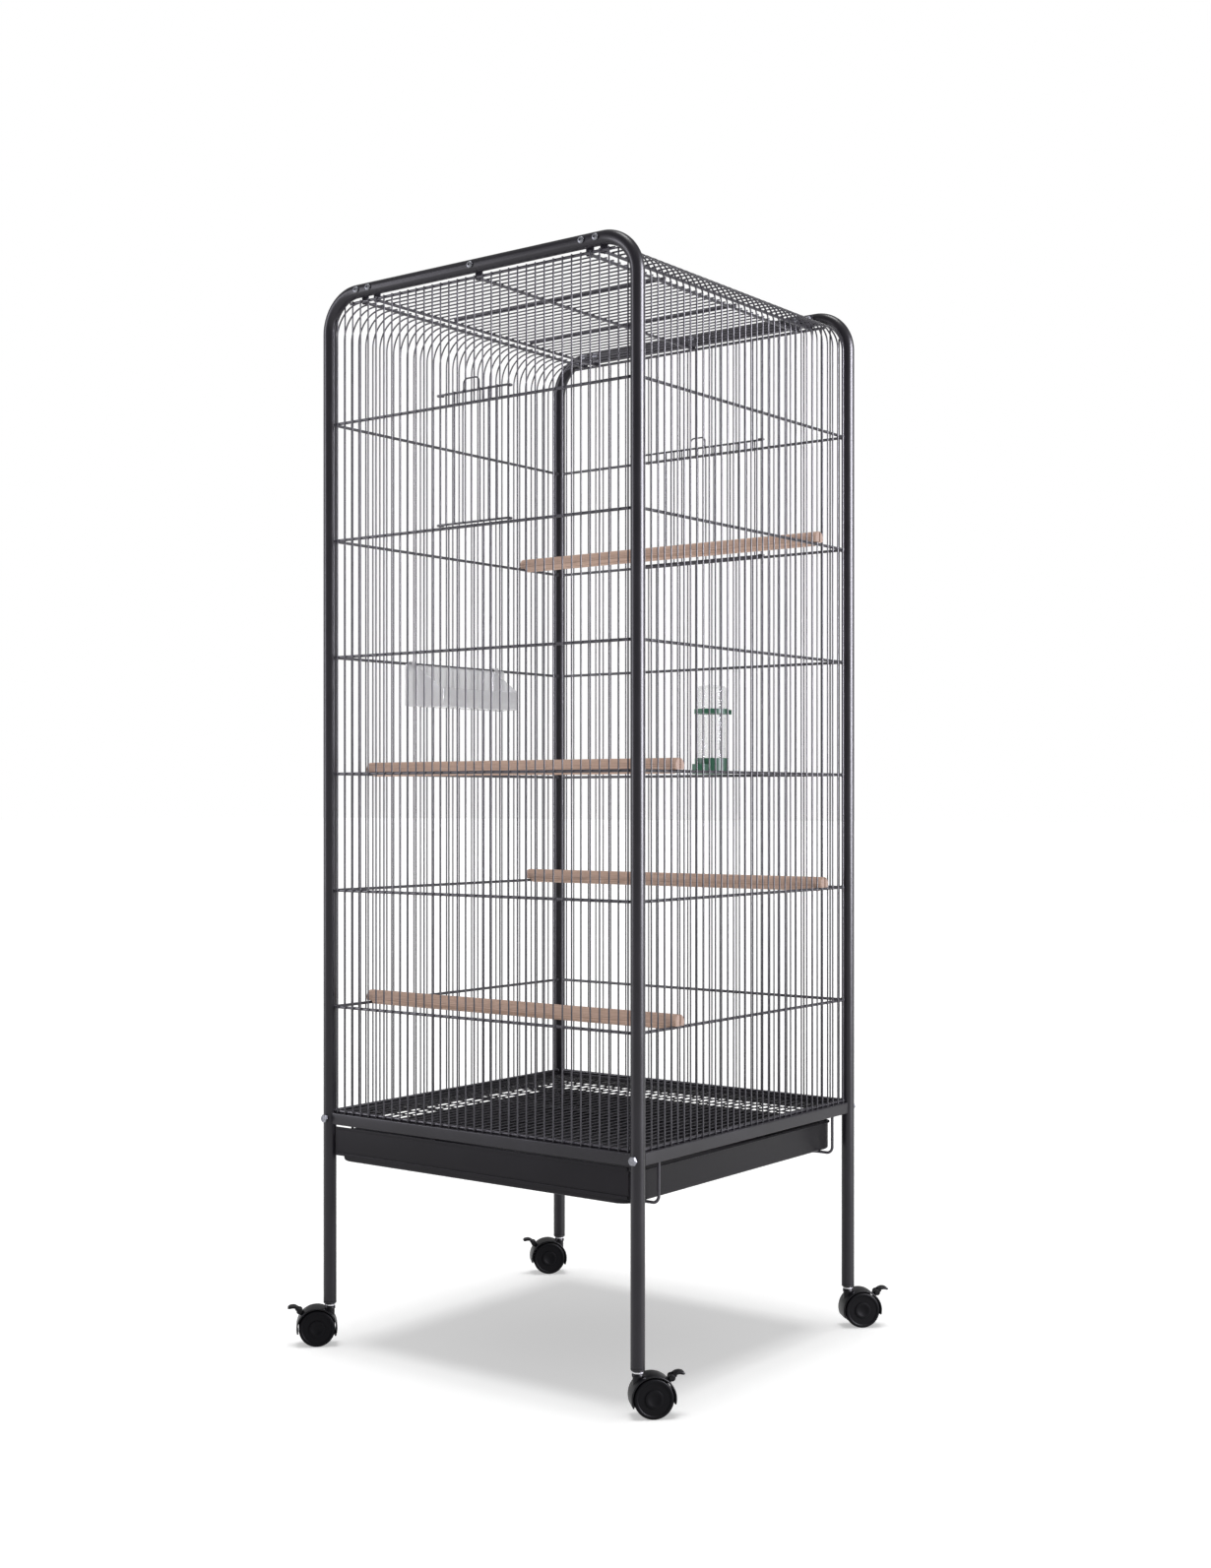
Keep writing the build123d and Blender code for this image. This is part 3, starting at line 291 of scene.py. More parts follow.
    def repeat(self, points: Array, quads: Array, tris: Array) -> None:
        """Add many copies of one shape whose points are given for each copy.

        Args:
            points: (copies, n, 3) places.
            quads: faces of one copy.
            tris: triangles of one copy.
        """
        copies, size = points.shape[:2]
        steps = (np.arange(copies) * size)[:, None, None]
        self.add(points, (quads[None] + steps).reshape(-1, 4), (tris[None] + steps).reshape(-1, 3))

    def beads(self, centres: Array, radii: Point, rows: int = 4, sides: int = 8) -> None:
        """Many equal weld beads, each a squashed ball.

        A point at height angle a and turn b is at (cos a cos b, cos a sin b, sin a) times the radii.

        Args:
            centres: (n, 3) middles.
            radii: half sizes along X, Y and Z.
            rows: rings between the poles.
            sides: points in each ring.
        """
        height = np.linspace(-math.pi / 2, math.pi / 2, rows + 2)[1:-1]
        turn = circle(sides)
        ball = np.concatenate([
            np.broadcast_to(turn, (rows, sides, 2)) * np.cos(height)[:, None, None],
            np.broadcast_to(np.sin(height)[:, None, None], (rows, sides, 1))], axis=2)
        shape = Skin()
        shape.stack(ball, first=np.array([0, 0, -1.0]), last=np.array([0, 0, 1.0]))
        points = np.concatenate(shape.points) * np.array(radii)
        self.repeat(centres[:, None] + points[None], shape.quads[0], shape.tris[0])

    def lathe(self, profile: Sequence[tuple[float, float]], place: Point, axis: Point, sides: int = 48,
              outline: Optional[Callable[[Array, int], Array]] = None) -> None:
        """Turn a profile about an axis. A first or last radius of zero closes that end in a point.

        A point at turn b of profile row i is at place + axis * height_i + radius_i * (cos b, sin b)
        in the plane square to the axis.

        Args:
            profile: (radius, height along the axis) pairs.
            place: the point on the axis where height is zero.
            axis: direction of the axis.
            sides: points in each ring.
            outline: gives, for the turns and a row's number, what each radius is multiplied by.
        """
        along = unit(np.array(axis, float))
        helper = np.array([0.0, 0.0, 1.0]) if abs(along[2]) < 0.9 else np.array([1.0, 0.0, 0.0])
        first = unit(np.cross(helper, along))
        second = np.cross(along, first)
        turns = np.arange(sides) * 2 * math.pi / sides
        rows = np.array(profile, float)
        inner = rows[rows[:, 0] > 0]
        scale = np.ones((len(inner), sides))
        if outline is not None:
            scale = np.stack([outline(turns, number) for number in range(len(inner))])
        across = np.cos(turns)[:, None] * first + np.sin(turns)[:, None] * second
        base = np.array(place, float)
        rings = (base + inner[:, 1, None, None] * along
                 + (inner[:, 0, None] * scale)[:, :, None] * across[None])
        first_cap = base + rows[0, 1] * along if rows[0, 0] <= 0 else None
        last_cap = base + rows[-1, 1] * along if rows[-1, 0] <= 0 else None
        self.stack(rings, closed=first_cap is None, first=first_cap, last=last_cap)

    def plate(self, outline: Array, low: float, high: float, axis: str, bevel: float = 0.0004) -> None:
        """A convex flat plate: the outline carried along an axis, with chamfered edges.

        The chamfer moves each outline point towards the middle by the bevel.

        Args:
            outline: (n, 2) points in the two other axes, in the order X, Y, Z.
            low: lowest value on the axis.
            high: highest value on the axis.
            axis: "X", "Y" or "Z".
            bevel: size of the chamfer.
        """
        middle = (outline.max(axis=0) + outline.min(axis=0)) / 2
        half = (outline.max(axis=0) - outline.min(axis=0)) / 2
        small = middle + (outline - middle) * (half - bevel) / half
        flat = np.stack([small, outline, outline, small])
        heights = np.array([low, low + bevel, high - bevel, high])
        number = "XYZ".index(axis)
        others = [k for k in range(3) if k != number]
        rings = np.zeros((4, len(outline), 3))
        rings[:, :, others[0]] = flat[:, :, 0]
        rings[:, :, others[1]] = flat[:, :, 1]
        rings[:, :, number] = heights[:, None]
        centre = np.zeros(3)
        centre[others[0]], centre[others[1]] = middle
        bottom, top = centre.copy(), centre.copy()
        bottom[number], top[number] = low, high
        self.stack(rings, first=bottom, last=top)

    def box(self, low: Sequence[float], high: Sequence[float], axis: str, radius: float,
            bevel: float = 0.0004) -> None:
        """A bar of rounded rectangular section between two corners, along an axis.

        Args:
            low: lowest corner.
            high: highest corner.
            axis: the bar's direction.
            radius: radius of the section's corners.
            bevel: chamfer at the ends.
        """
        number = "XYZ".index(axis)
        others = [k for k in range(3) if k != number]
        lowest, highest = np.array(low, float), np.array(high, float)
        half = (highest - lowest)[others] / 2
        middle = (highest + lowest)[others] / 2
        outline = rounded_rectangle(half[0], half[1], radius) + middle
        self.plate(outline, lowest[number], highest[number], axis, bevel)

    def merge(self, other: "Skin") -> None:
        """Take in all the surfaces of another skin.

        Args:
            other: the skin whose surfaces are added.
        """
        self.quads += [quads + self.count for quads in other.quads]
        self.tris += [tris + self.count for tris in other.tris]
        self.points += other.points
        self.count += other.count

    def placed(self, origin: Array, axes: Array) -> "Skin":
        """The same surfaces, with local X, Y and Z laid along three directions from an origin.

        Args:
            origin: where the local origin goes.
            axes: (3, 3) rows that are the directions of local X, Y and Z.

        Returns:
            A new skin.
        """
        moved = Skin()
        moved.points = [np.array(origin) + group @ axes for group in self.points]
        moved.quads, moved.tris, moved.count = self.quads, self.tris, self.count
        return moved

    def build(self, name: str, finish: bpy.types.Material, body: str, slot: str,
              stands_for: Sequence[str] = ()) -> bpy.types.Object:
        """Make the mesh object, dress it and put it on its body.

        Args:
            name: the piece's name.
            finish: its material.
            body: the CAD body it rides on.
            slot: the record's material slot; not used.
            stands_for: CAD nodes that it replaces.

        Returns:
            The new object.
        """
        points = np.concatenate(self.points)
        faces = [group.tolist() for group in self.quads] + [group.tolist() for group in self.tris]
        mesh = bpy.data.meshes.new(name)
        mesh.from_pydata(points.tolist(), [], [face for group in faces for face in group])
        shell = bmesh.new()
        shell.from_mesh(mesh)
        bmesh.ops.recalc_face_normals(shell, faces=shell.faces)
        shell.to_mesh(mesh)
        shell.free()
        mesh.shade_smooth()
        mesh.set_sharp_from_angle(angle=SMOOTH_ANGLE)
        mesh.materials.append(finish)
        piece = bpy.data.objects.new(name, mesh)
        bpy.context.scene.collection.objects.link(piece)
        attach(piece, body)
        if stands_for:
            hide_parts(*stands_for)
        LOG.info("%s: %d faces", name, len(mesh.polygons))
        return piece


# ---- shader graphs
class Value:
    """A shader socket that takes part in Python sums."""

    def __init__(self, graph: "Graph", socket: bpy.types.NodeSocket) -> None:
        """Remember the graph and the socket.

        Args:
            graph: the graph that the socket is in.
            socket: an output socket.
        """
        self.graph = graph
        self.socket = socket

    def _math(self, operation: str, *values: "Operand") -> "Value":
        """Add one Math node.

        Args:
            operation: its operation.
            values: its inputs, in order.

        Returns:
            Its result.
        """
        return self.graph.node("ShaderNodeMath", {"operation": operation}, dict(enumerate(values)))

    def __add__(self, other: "Operand") -> "Value":
        """Sum."""
        return self._math("ADD", self, other)

    __radd__ = __add__

    def __sub__(self, other: "Operand") -> "Value":
        """Difference."""
        return self._math("SUBTRACT", self, other)

    def __rsub__(self, other: float) -> "Value":
        """Difference from a number."""
        return self._math("SUBTRACT", other, self)

    def __mul__(self, other: "Operand") -> "Value":
        """Product."""
        return self._math("MULTIPLY", self, other)

    __rmul__ = __mul__

    def clamp(self) -> "Value":
        """The value kept between 0 and 1."""
        return self.graph.node("ShaderNodeClamp", {}, {"Value": self})

    def sine(self) -> "Value":
        """The sine of the value."""
        return self._math("SINE", self)

    def root(self) -> "Value":
        """The square root of the value."""
        return self._math("SQRT", self)

    def step(self, low: float, high: float) -> "Value":
        """Smooth rise from 0 at a low value to 1 at a high one."""
        return self.graph.node("ShaderNodeMapRange", {"interpolation_type": "SMOOTHSTEP"},
                               {"Value": self, "From Min": low, "From Max": high})


Operand = Union[Value, int, float]
Input = Union[Operand, Sequence[float]]


class Graph:
    """A material's nodes round one Principled shader."""

    def __init__(self, name: str, colour: Colour) -> None:
        """Make the material.

        Args:
            name: the material's name.
            colour: its colour in a plain viewport.
        """
        self.material = bpy.data.materials.new(name)
        self.material.use_nodes = True
        self.material.diffuse_color = (*colour, 1.0)
        self.tree = self.material.node_tree
        self.shader = self.tree.nodes["Principled BSDF"]

    def node(self, kind: str, settings: dict, inputs: dict, output: Union[int, str] = 0) -> Value:
        """Add one node: its settings first, then its sockets.

        Args:
            kind: the node's type.
            settings: property names and values.
            inputs: socket names or numbers, with values or links.
            output: the socket to return.

        Returns:
            That output.
        """
        made = self.tree.nodes.new(kind)
        for key, value in settings.items():
            setattr(made, key, value)
        for key, value in inputs.items():
            self._feed(made.inputs[key], value)
        return Value(self, made.outputs[output])

    def _feed(self, socket: bpy.types.NodeSocket, value: Input) -> None:
        """Link or set one input socket.

        Args:
            socket: the input.
            value: a link, a number, or a colour or vector.
        """
        if isinstance(value, Value):
            self.tree.links.new(value.socket, socket)
        elif isinstance(value, (int, float)):
            socket.default_value = value
        else:
            size = len(socket.default_value)
            socket.default_value = (*value, 1.0)[:size]

    def place(self, scale: Point = (1, 1, 1), offset: Point = (0, 0, 0)) -> Value:
        """Object coordinates, scaled and shifted.

        Args:
            scale: how much each axis is stretched.
            offset: added after scaling.

        Returns:
            The coordinates.
        """
        here = self.node("ShaderNodeTexCoord", {}, {}, "Object")
        return self.node("ShaderNodeMapping", {}, {"Vector": here, "Scale": scale, "Location": offset})

    def noise(self, scale: float, detail: float = 2.0, roughness: float = 0.5,
              where: Optional[Value] = None) -> Value:
        """Noise between 0 and 1.

        Args:
            scale: lumps to a metre.
            detail: how many finer layers it has.
            roughness: how strong the finer layers are.
            where: coordinates; the object's own if left out.

        Returns:
            The noise.
        """
        vector = self.place() if where is None else where
        return self.node("ShaderNodeTexNoise", {}, {"Vector": vector, "Scale": scale, "Detail": detail,
                                                    "Roughness": roughness}, "Fac")

    def mix(self, share: Input, first: Input, second: Input) -> Value:
        """Colour between two colours."""
        return self.node("ShaderNodeMix", {"data_type": "RGBA"}, {0: share, 6: first, 7: second}, 2)

    def bump(self, height: Value, distance: float, strength: float) -> Value:
        """Surface relief.

        Args:
            height: the relief between 0 and 1.
            distance: its depth in metres.
            strength: how much of it shows.

        Returns:
            The bumped normal.
        """
        return self.node("ShaderNodeBump", {}, {"Height": height, "Distance": distance,
                                                "Strength": strength})

    def dress(self, **inputs: Input) -> bpy.types.Material:
        """Set the Principled shader's sockets.

        Args:
            inputs: socket names, with underscores for spaces, and what goes into them.

        Returns:
            The finished material.
        """
        for key, value in inputs.items():
            self._feed(self.shader.inputs[key.replace("_", " ")], value)
        return self.material


# ---- finishes
@dataclass(frozen=True)
class PowderCoat:
    """Black powder coat: fine orange peel, cloudy shade and gloss, and specks.

    The fields are its name and shade, the orange peel's lumps to a metre and depth in metres, its
    roughness, and how strong its highlights are.
    """

    name: str
    shade: Colour
    peel: float
    peel_depth: float
    gloss: float
    shine: float

    def make(self) -> bpy.types.Material:
        """Make its nodes.

        Returns:
            The material.
        """
        graph = Graph(self.name, self.shade)
        cloud = graph.noise(18.0, 3.0)
        speck = graph.noise(2600.0, 1.0)
        peel = graph.noise(self.peel, 3.0, 0.55)
        light = tuple(1.9 * channel for channel in self.shade)
        colour = graph.mix((cloud - 0.35) * 0.9 + (speck - 0.5) * 0.5, self.shade, light)
        rough = self.gloss + (cloud - 0.5) * 0.16 + (speck - 0.5) * 0.1
        relief = graph.bump(peel, self.peel_depth, 0.55)
        return graph.dress(Base_Color=colour, Roughness=rough.clamp(), Normal=relief, IOR=1.5,
                           Specular_IOR_Level=self.shine, Coat_Weight=0.05, Coat_Roughness=0.25)


@dataclass(frozen=True)
class PlatedSteel:
    """Zinc-plated steel: metal with turning marks and dull blotches.

    The fields are its name, its shade and its roughness.
    """

    name: str
    shade: Colour
    gloss: float

    def make(self) -> bpy.types.Material:
        """Make its nodes.

        Returns:
            The material.
        """
        graph = Graph(self.name, self.shade)
        blotch = graph.noise(420.0, 4.0, 0.6)
        scratch = graph.noise(1400.0, 2.0, 0.5, graph.place((1.0, 8.0, 1.0)))
        dull = tuple(0.62 * channel for channel in self.shade)
        colour = graph.mix(blotch.step(0.35, 0.75), self.shade, dull)
        rough = self.gloss + blotch * 0.22 + (scratch - 0.5) * 0.16
        relief = graph.bump(scratch + blotch * 0.5, 0.00003, 0.4)
        return graph.dress(Base_Color=colour, Metallic=1.0, Roughness=rough.clamp(), Normal=relief)


@dataclass(frozen=True)
class TurnedWood:
    """Bare hardwood dowel along X: growth rings about an off-centre pith, streaks and pores along it.

    The fields are its name, the dowel's middle line, how far along the pattern is shifted, the pale and
    dark wood, the pith's distance from the middle, and the rings to a metre.
    """

    name: str
    middle_y: float
    middle_z: float
    shift: float
    pale: Colour = (0.69, 0.48, 0.38)
    dark: Colour = (0.43, 0.27, 0.2)
    pith_offset: float = 0.021
    ring_count: float = 620.0

    def make(self) -> bpy.types.Material:
        """Make its nodes.

        Returns:
            The material.
        """
        graph = Graph(self.name, self.pale)
        centre = (self.shift, -self.middle_y + self.pith_offset, -self.middle_z + 0.6 * self.pith_offset)
        here = graph.place((1, 1, 1), centre)
        slow = graph.noise(9.0, 3.0, 0.55, graph.place((0.35, 3.0, 3.0), (self.shift, 0, 0)))
        parts = graph.node("ShaderNodeSeparateXYZ", {}, {0: here}, "Y")
        across = Value(graph, parts.socket.node.outputs["Y"])
        up = Value(graph, parts.socket.node.outputs["Z"])
        away = (across * across + up * up).root() + slow * 0.006
        ring = (away * self.ring_count * 2 * math.pi).sine() * 0.5 + 0.5
        streak = graph.noise(60.0, 4.0, 0.6, graph.place((0.5, 12.0, 12.0), (self.shift, 0, 0)))
        pore = graph.noise(520.0, 2.0, 0.5, graph.place((0.06, 3.0, 3.0), (self.shift, 0, 0)))
        grain = (ring * 0.35 + streak * 0.65).step(0.25, 0.85)
        base = graph.mix(grain, self.pale, self.dark)
        pores = pore.step(0.58, 0.72)
        colour = graph.mix(pores * 0.45, base, tuple(0.45 * channel for channel in self.dark))
        rough = 0.55 + grain * 0.12 + pores * 0.15
        relief = graph.bump(1 - (pores * 0.7 + grain * 0.3), 0.00018, 0.6)
        return graph.dress(Base_Color=colour, Roughness=rough.clamp(), Normal=relief,
                           Specular_IOR_Level=0.35)


@dataclass(frozen=True)
class ClearPlastic:
    """Clear moulded plastic with faint flow marks and scuffs.

    The fields are its name and tint, how opaque it is face on and how much more edge on, and the depth of
    its flow marks in metres.
    """

    name: str
    tint: Colour
    alpha: float
    edge: float
    ripple: float

    def make(self) -> bpy.types.Material:
        """Make its nodes.

        Returns:
            The material.
        """
        graph = Graph(self.name, self.tint)
        flow = graph.noise(38.0, 2.0, 0.4, graph.place((1.0, 0.25, 1.0)))
        scuff = graph.noise(900.0, 3.0, 0.6, graph.place((1.0, 0.2, 1.0)))
        marks = scuff.step(0.6, 0.78)
        rim = graph.node("ShaderNodeLayerWeight", {}, {"Blend": 0.35}, "Facing")
        alpha = self.alpha + marks * 0.06 + rim * self.edge
        # Colour darker edge on: painted shade for the dark rims that the clear plastic shows when seen edge
        # on.
        shade = graph.mix(rim, self.tint, tuple(0.62 * channel for channel in self.tint))
        rough = 0.07 + marks * 0.25 + flow * 0.04
        relief = graph.bump(flow, self.ripple, 0.35)
        return graph.dress(Base_Color=shade, Roughness=rough, Alpha=alpha.clamp(), Normal=relief,
                           IOR=1.49, Coat_Weight=0.5, Coat_Roughness=0.03)


@dataclass(frozen=True)
class MouldedPlastic:
    """Moulded plastic with a fine spark-eroded texture and slight shade changes.

    The fields are its name and shade, its roughness, the texture's lumps to a metre and depth in metres,
    how much light goes into it, and how strong its highlights are.
    """

    name: str
    shade: Colour
    gloss: float = 0.42
    texture: float = 1500.0
    depth: float = 0.00005
    depth_colour: float = 0.0
    shine: float = 0.4

    def make(self) -> bpy.types.Material:
        """Make its nodes.

        Returns:
            The material.
        """
        graph = Graph(self.name, self.shade)
        cloud = graph.noise(60.0, 3.0)
        grit = graph.noise(self.texture, 3.0, 0.6)
        scuff = graph.noise(240.0, 5.0, 0.7).step(0.6, 0.8)
        light = tuple(min(1.0, 1.5 * channel + 0.001) for channel in self.shade)
        colour = graph.mix((cloud - 0.3) * 0.8 + scuff * 0.25, self.shade, light)
        rough = self.gloss + (grit - 0.5) * 0.18 + scuff * 0.12
        relief = graph.bump(grit, self.depth, 0.5)
        return graph.dress(Base_Color=colour, Roughness=rough.clamp(), Normal=relief, IOR=1.5,
                           Specular_IOR_Level=self.shine, Subsurface_Weight=self.depth_colour,
                           Subsurface_Scale=0.004)


class Finishes:
    """Every finish of the cage, each made once."""

    def __init__(self) -> None:
        """Make them all."""
        self.frame = PowderCoat("frame_powder_coat", (0.0115, 0.01, 0.0145), 900.0, 0.00006,
                                0.36, 0.3).make()
        # Wire shade about three times the frame's black: painted sheen for the highlights on the thin wires;
        # the floor grid's finish keeps a black near the frame's.
        self.wire = PowderCoat("wire_powder_coat_painted_sheen", (0.034, 0.031, 0.042), 1500.0, 0.00003,
                               0.32, 0.5).make()
        self.sheet = PowderCoat("sheet_powder_coat", (0.0075, 0.0064, 0.0092), 700.0, 0.00009,
                                0.42, 0.13).make()
        self.grid = PowderCoat("grid_powder_coat", (0.011, 0.01, 0.013), 1500.0, 0.00003,
                               0.4, 0.22).make()
        self.bolt = PlatedSteel("bolt_zinc", (0.26, 0.265, 0.285), 0.42).make()
        self.stem = PlatedSteel("stem_zinc", (0.66, 0.66, 0.67), 0.28).make()
        self.clear = ClearPlastic("feeder_clear", (0.97, 0.965, 0.99), 0.42, 0.3, 0.0003).make()
        self.tube = ClearPlastic("drinker_clear", (0.93, 0.94, 0.96), 0.07, 0.22, 0.00008).make()
        self.green = MouldedPlastic("drinker_green", (0.03, 0.15, 0.085), 0.34, 1900.0, 0.00003,
                                    0.15).make()
        self.plug = MouldedPlastic("plug_black", (0.012, 0.012, 0.013), 0.45).make()
        self.hood = MouldedPlastic("caster_black", (0.003, 0.0029, 0.0045), 0.4, 1300.0, 0.00006,
                                   shine=0.2).make()
        self.wheel = MouldedPlastic("wheel_black", (0.002, 0.0019, 0.0032), 0.5, 1100.0, 0.00006,
                                    shine=0.1).make()


# ---- places shared by the pieces
@dataclass
class Layout:
    """Main places of the cage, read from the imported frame, and the sizes of its wire."""

    wire: float = 0.0011
    rod: float = 0.002
    hoop_count: int = 6
    first_hoop_above_rail: float = 0.146
    last_hoop_below_top: float = 0.1855
    half_spaces: int = 18
    weld_gap: float = 0.00002
    lug_thickness: float = 0.002
    top_rod_drop: float = 0.014
    side_rod_from_post: float = 0.058
    roof_rod_from_post: float = 0.08
    arch_bend: float = 0.052
    post_x: float = field(init=False)
    post_y: float = field(init=False)
    tube: float = field(init=False)
    foot: float = field(init=False)
    arch_top: float = field(init=False)
    rail_low: float = field(init=False)
    rail_top: float = field(init=False)
    rail_half: float = field(init=False)

    def __post_init__(self) -> None:
        """Read the frame's boxes."""
        low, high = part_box("front_arch")
        self.tube = (high.y - low.y) / 2
        self.post_x = high.x - self.tube
        self.post_y = -low.y - self.tube
        self.foot = low.z
        self.arch_top = high.z - self.tube
        rail_low, rail_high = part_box("front_rail")
        self.rail_low, self.rail_top = rail_low.z, rail_high.z
        self.rail_half = (rail_high.y - rail_low.y) / 2

    @property
    def hoops(self) -> Array:
        """Heights of the hoops, evenly spaced.

        Returns:
            The heights, lowest first.
        """
        first = self.rail_top + self.first_hoop_above_rail
        last = self.arch_top + self.tube - self.last_hoop_below_top
        return np.linspace(first, last, self.hoop_count)

    @property
    def inset(self) -> float:
        """How far inside the uprights the hoop rods lie."""
        return self.wire + self.rod + self.weld_gap

    @property
    def top_rod(self) -> float:
        """Height of the rods under the roof."""
        return self.arch_top - self.top_rod_drop

    @property
    def roof_wire(self) -> float:
        """Height of the roof wires."""
        return self.top_rod + self.inset

    @property
    def side_rod(self) -> float:
        """X of the rods that end the side panels."""
        return self.post_x - self.side_rod_from_post

    @property
    def roof_rod(self) -> float:
        """X of the outer rods of the roof."""
        return self.post_x - self.roof_rod_from_post

    @property
    def uprights_x(self) -> Array:
        """X of the uprights of the front and rear."""
        last = self.half_spaces - 1
        return np.arange(-last, last + 1) * self.post_x / self.half_spaces

    @property
    def uprights_y(self) -> Array:
        """Y of the uprights of the sides."""
        last = self.half_spaces - 1
        return np.arange(-last, last + 1) * self.post_y / self.half_spaces

    @property
    def lug_places(self) -> list[float]:
        """X of every lug on an arch."""
        return [-self.side_rod, -self.roof_rod, 0.0, self.roof_rod, self.side_rod]


def column(xs: Union[Array, float], ys: Union[Array, float], zs: Union[Array, float]) -> Array:
    """Points from three lists of coordinates, any of which may be one number.

    Args:
        xs: X values.
        ys: Y values.
        zs: Z values.

    Returns:
        (n, 3) points.
    """
    axes = np.broadcast_arrays(xs, ys, zs)
    return np.stack([axis.astype(float) for axis in axes], axis=-1).reshape(-1, 3)


def crossings(xs: Union[Array, float], ys: Union[Array, float], zs: Union[Array, float]) -> Array:
    """Every meeting point of three lists of coordinates, as (n, 3) points."""
    grid = np.meshgrid(np.atleast_1d(xs), np.atleast_1d(ys), np.atleast_1d(zs), indexing="ij")
    return np.stack(grid, axis=-1).reshape(-1, 3)


# ---- frame of the stand
@dataclass(frozen=True)
class SixSided:
    """Makes some rows of a turned profile hexagons and leaves the others circles.

    The fields are the numbers of those rows and the turn of the hexagon's first corner.
    """

    rows: frozenset[int]
    first_corner: float

    def scale(self, turns: Array, row: int) -> Array:
        """What each radius is multiplied by: one over the cosine of the turn from the nearest flat.

        Args:
            turns: the turns of a ring's points.
            row: the ring's number.

        Returns:
            A factor for each point.
        """
        if row not in self.rows:
            return np.ones_like(turns)
        return 1 / np.cos(np.mod(turns - self.first_corner, math.pi / 3) - math.pi / 6)


@dataclass
class StandFrame:
    """Two bent arches, four rails, their weld beads, bolts and nuts."""

    layout: Layout
    finishes: Finishes
    bead: float = 0.0012
    bead_ripple: float = 0.12
    ripple_steps: int = 4
    rail_corner: float = 0.0016
    edge: float = 0.0006
    head_radius: float = 0.0045
    head_height: float = 0.0032
    socket_flats: float = 0.003
    nut_flats: float = 0.008
    nut_height: float = 0.004
    hex_flats: float = 0.01
    hex_height: float = 0.004
    shank: float = 0.0025
    shank_edge: float = 0.0003

    def build(self) -> None:
        """Make every piece of the frame."""
        for side in Side:
            self.arch(side)
            self.cross_rail(side)
            self.side_rail(side)
        self.lug_bolts()
        self.lug_nuts()
        self.rail_bolts()

    def arch(self, side: Side) -> None:
        """One arch: a round tube up a post, over the top and down the other post.

        Args:
            side: front or rear.
        """
        place = self.layout
        name = side.along_y
        y = side.value * place.post_y
        route = [(-place.post_x, y, place.foot), (-place.post_x, y, place.arch_top),
                 (place.post_x, y, place.arch_top), (place.post_x, y, place.foot)]
        skin = Skin()
        skin.tube(bent_path(route, place.arch_bend, 28), place.tube, (0, 1, 0), 48, bevel=self.edge)
        skin.build(f"arch_{name}", self.finishes.frame, "cage", "frame_black", [f"{name}_arch"])

    def saddle_bead(self, skin: Skin, post_sign: int, y: float, steps: int = 96) -> None:
        """Weld bead where a rail meets a post.

        The line goes round the rail's outline, and at each point it lies on the post's round surface:
        x is the post's place less the root of tube radius squared less the sideways distance squared.
        The bead's thickness ripples with the weld pool.

        Args:
            skin: where to add it.
            post_sign: -1 for the left post, 1 for the right.
            y: the rail's middle line.
            steps: points round the rail.
        """
        place = self.layout
        half = (place.rail_top - place.rail_low) / 2
        outline = rounded_rectangle(place.rail_half, half, self.rail_corner, 4)
        lengths = np.linalg.norm(np.roll(outline, -1, axis=0) - outline, axis=1)
        along = np.concatenate([[0.0], np.cumsum(lengths)])
        even = np.linspace(0, along[-1], steps, endpoint=False)
        closed = np.concatenate([outline, outline[:1]])
        side = np.interp(even, along, closed[:, 0])
        up = np.interp(even, along, closed[:, 1])
        surface = np.sqrt(place.tube**2 - side**2)
        middle = (place.rail_top + place.rail_low) / 2
        path = column(post_sign * (place.post_x - surface), y + side, middle + up)
        ripple = 1 + self.bead_ripple * np.sin(np.arange(steps) * 2 * math.pi / self.ripple_steps)
        skin.tube(path, self.bead * ripple, (1, 0, 0), 8, closed=True)

    def cross_rail(self, side: Side) -> None:
        """Front or rear rail, welded between its posts.

        Args:
            side: front or rear.
        """
        place = self.layout
        name = side.along_y
        y = side.value * place.post_y
        reach = place.post_x - place.tube + self.bead
        skin = Skin()
        skin.box((-reach, y - place.rail_half, place.rail_low), (reach, y + place.rail_half, place.rail_top),
                 "X", self.rail_corner)
        for post_sign in (-1, 1):
            self.saddle_bead(skin, post_sign, y)
        skin.build(f"rail_{name}", self.finishes.frame, "cage", "frame_black", [f"{name}_rail"])

    def side_rail(self, side: Side) -> None:
        """Left or right rail, bolted between its posts, with a closed and chamfered end at each.

        Args:
            side: left or right.
        """
        place = self.layout
        name = side.along_x
        x = side.value * place.post_x
        reach = place.post_y - place.tube
        skin = Skin()
        skin.box((x - place.rail_half, -reach, place.rail_low), (x + place.rail_half, reach, place.rail_top),
                 "Y", self.rail_corner, self.edge)
        skin.build(f"rail_{name}", self.finishes.frame, "cage", "frame_black", [f"{name}_rail"])

    def button_head(self, skin: Skin, place: Point, outward: Point) -> None:
        """Round bolt head with a six-sided socket.

        Rings run from the socket's floor up its six-sided wall, over the dome and down to the seat.

        Args:
            skin: where to add it.
            place: the middle of the seat.
            outward: direction from the seat to the head.
        """
        top, radius = self.head_height, self.head_radius
        inner = self.socket_flats / 2
        dome = [(radius * math.sin(a), top * (0.25 + 0.75 * math.cos(a))) for a in np.linspace(0.5, 1.5, 8)]
        profile = [(0.0, top * 0.35), (inner * 0.98, top * 0.38), (inner, top * 0.9),
                   (inner * 1.12, top * 0.955)]
        profile += dome + [(radius, top * 0.12), (radius * 0.97, 0.0), (0.0, 0.0)]
        skin.lathe(profile, place, outward, 36, SixSided(frozenset({0, 1, 2}), -math.pi / 6).scale)

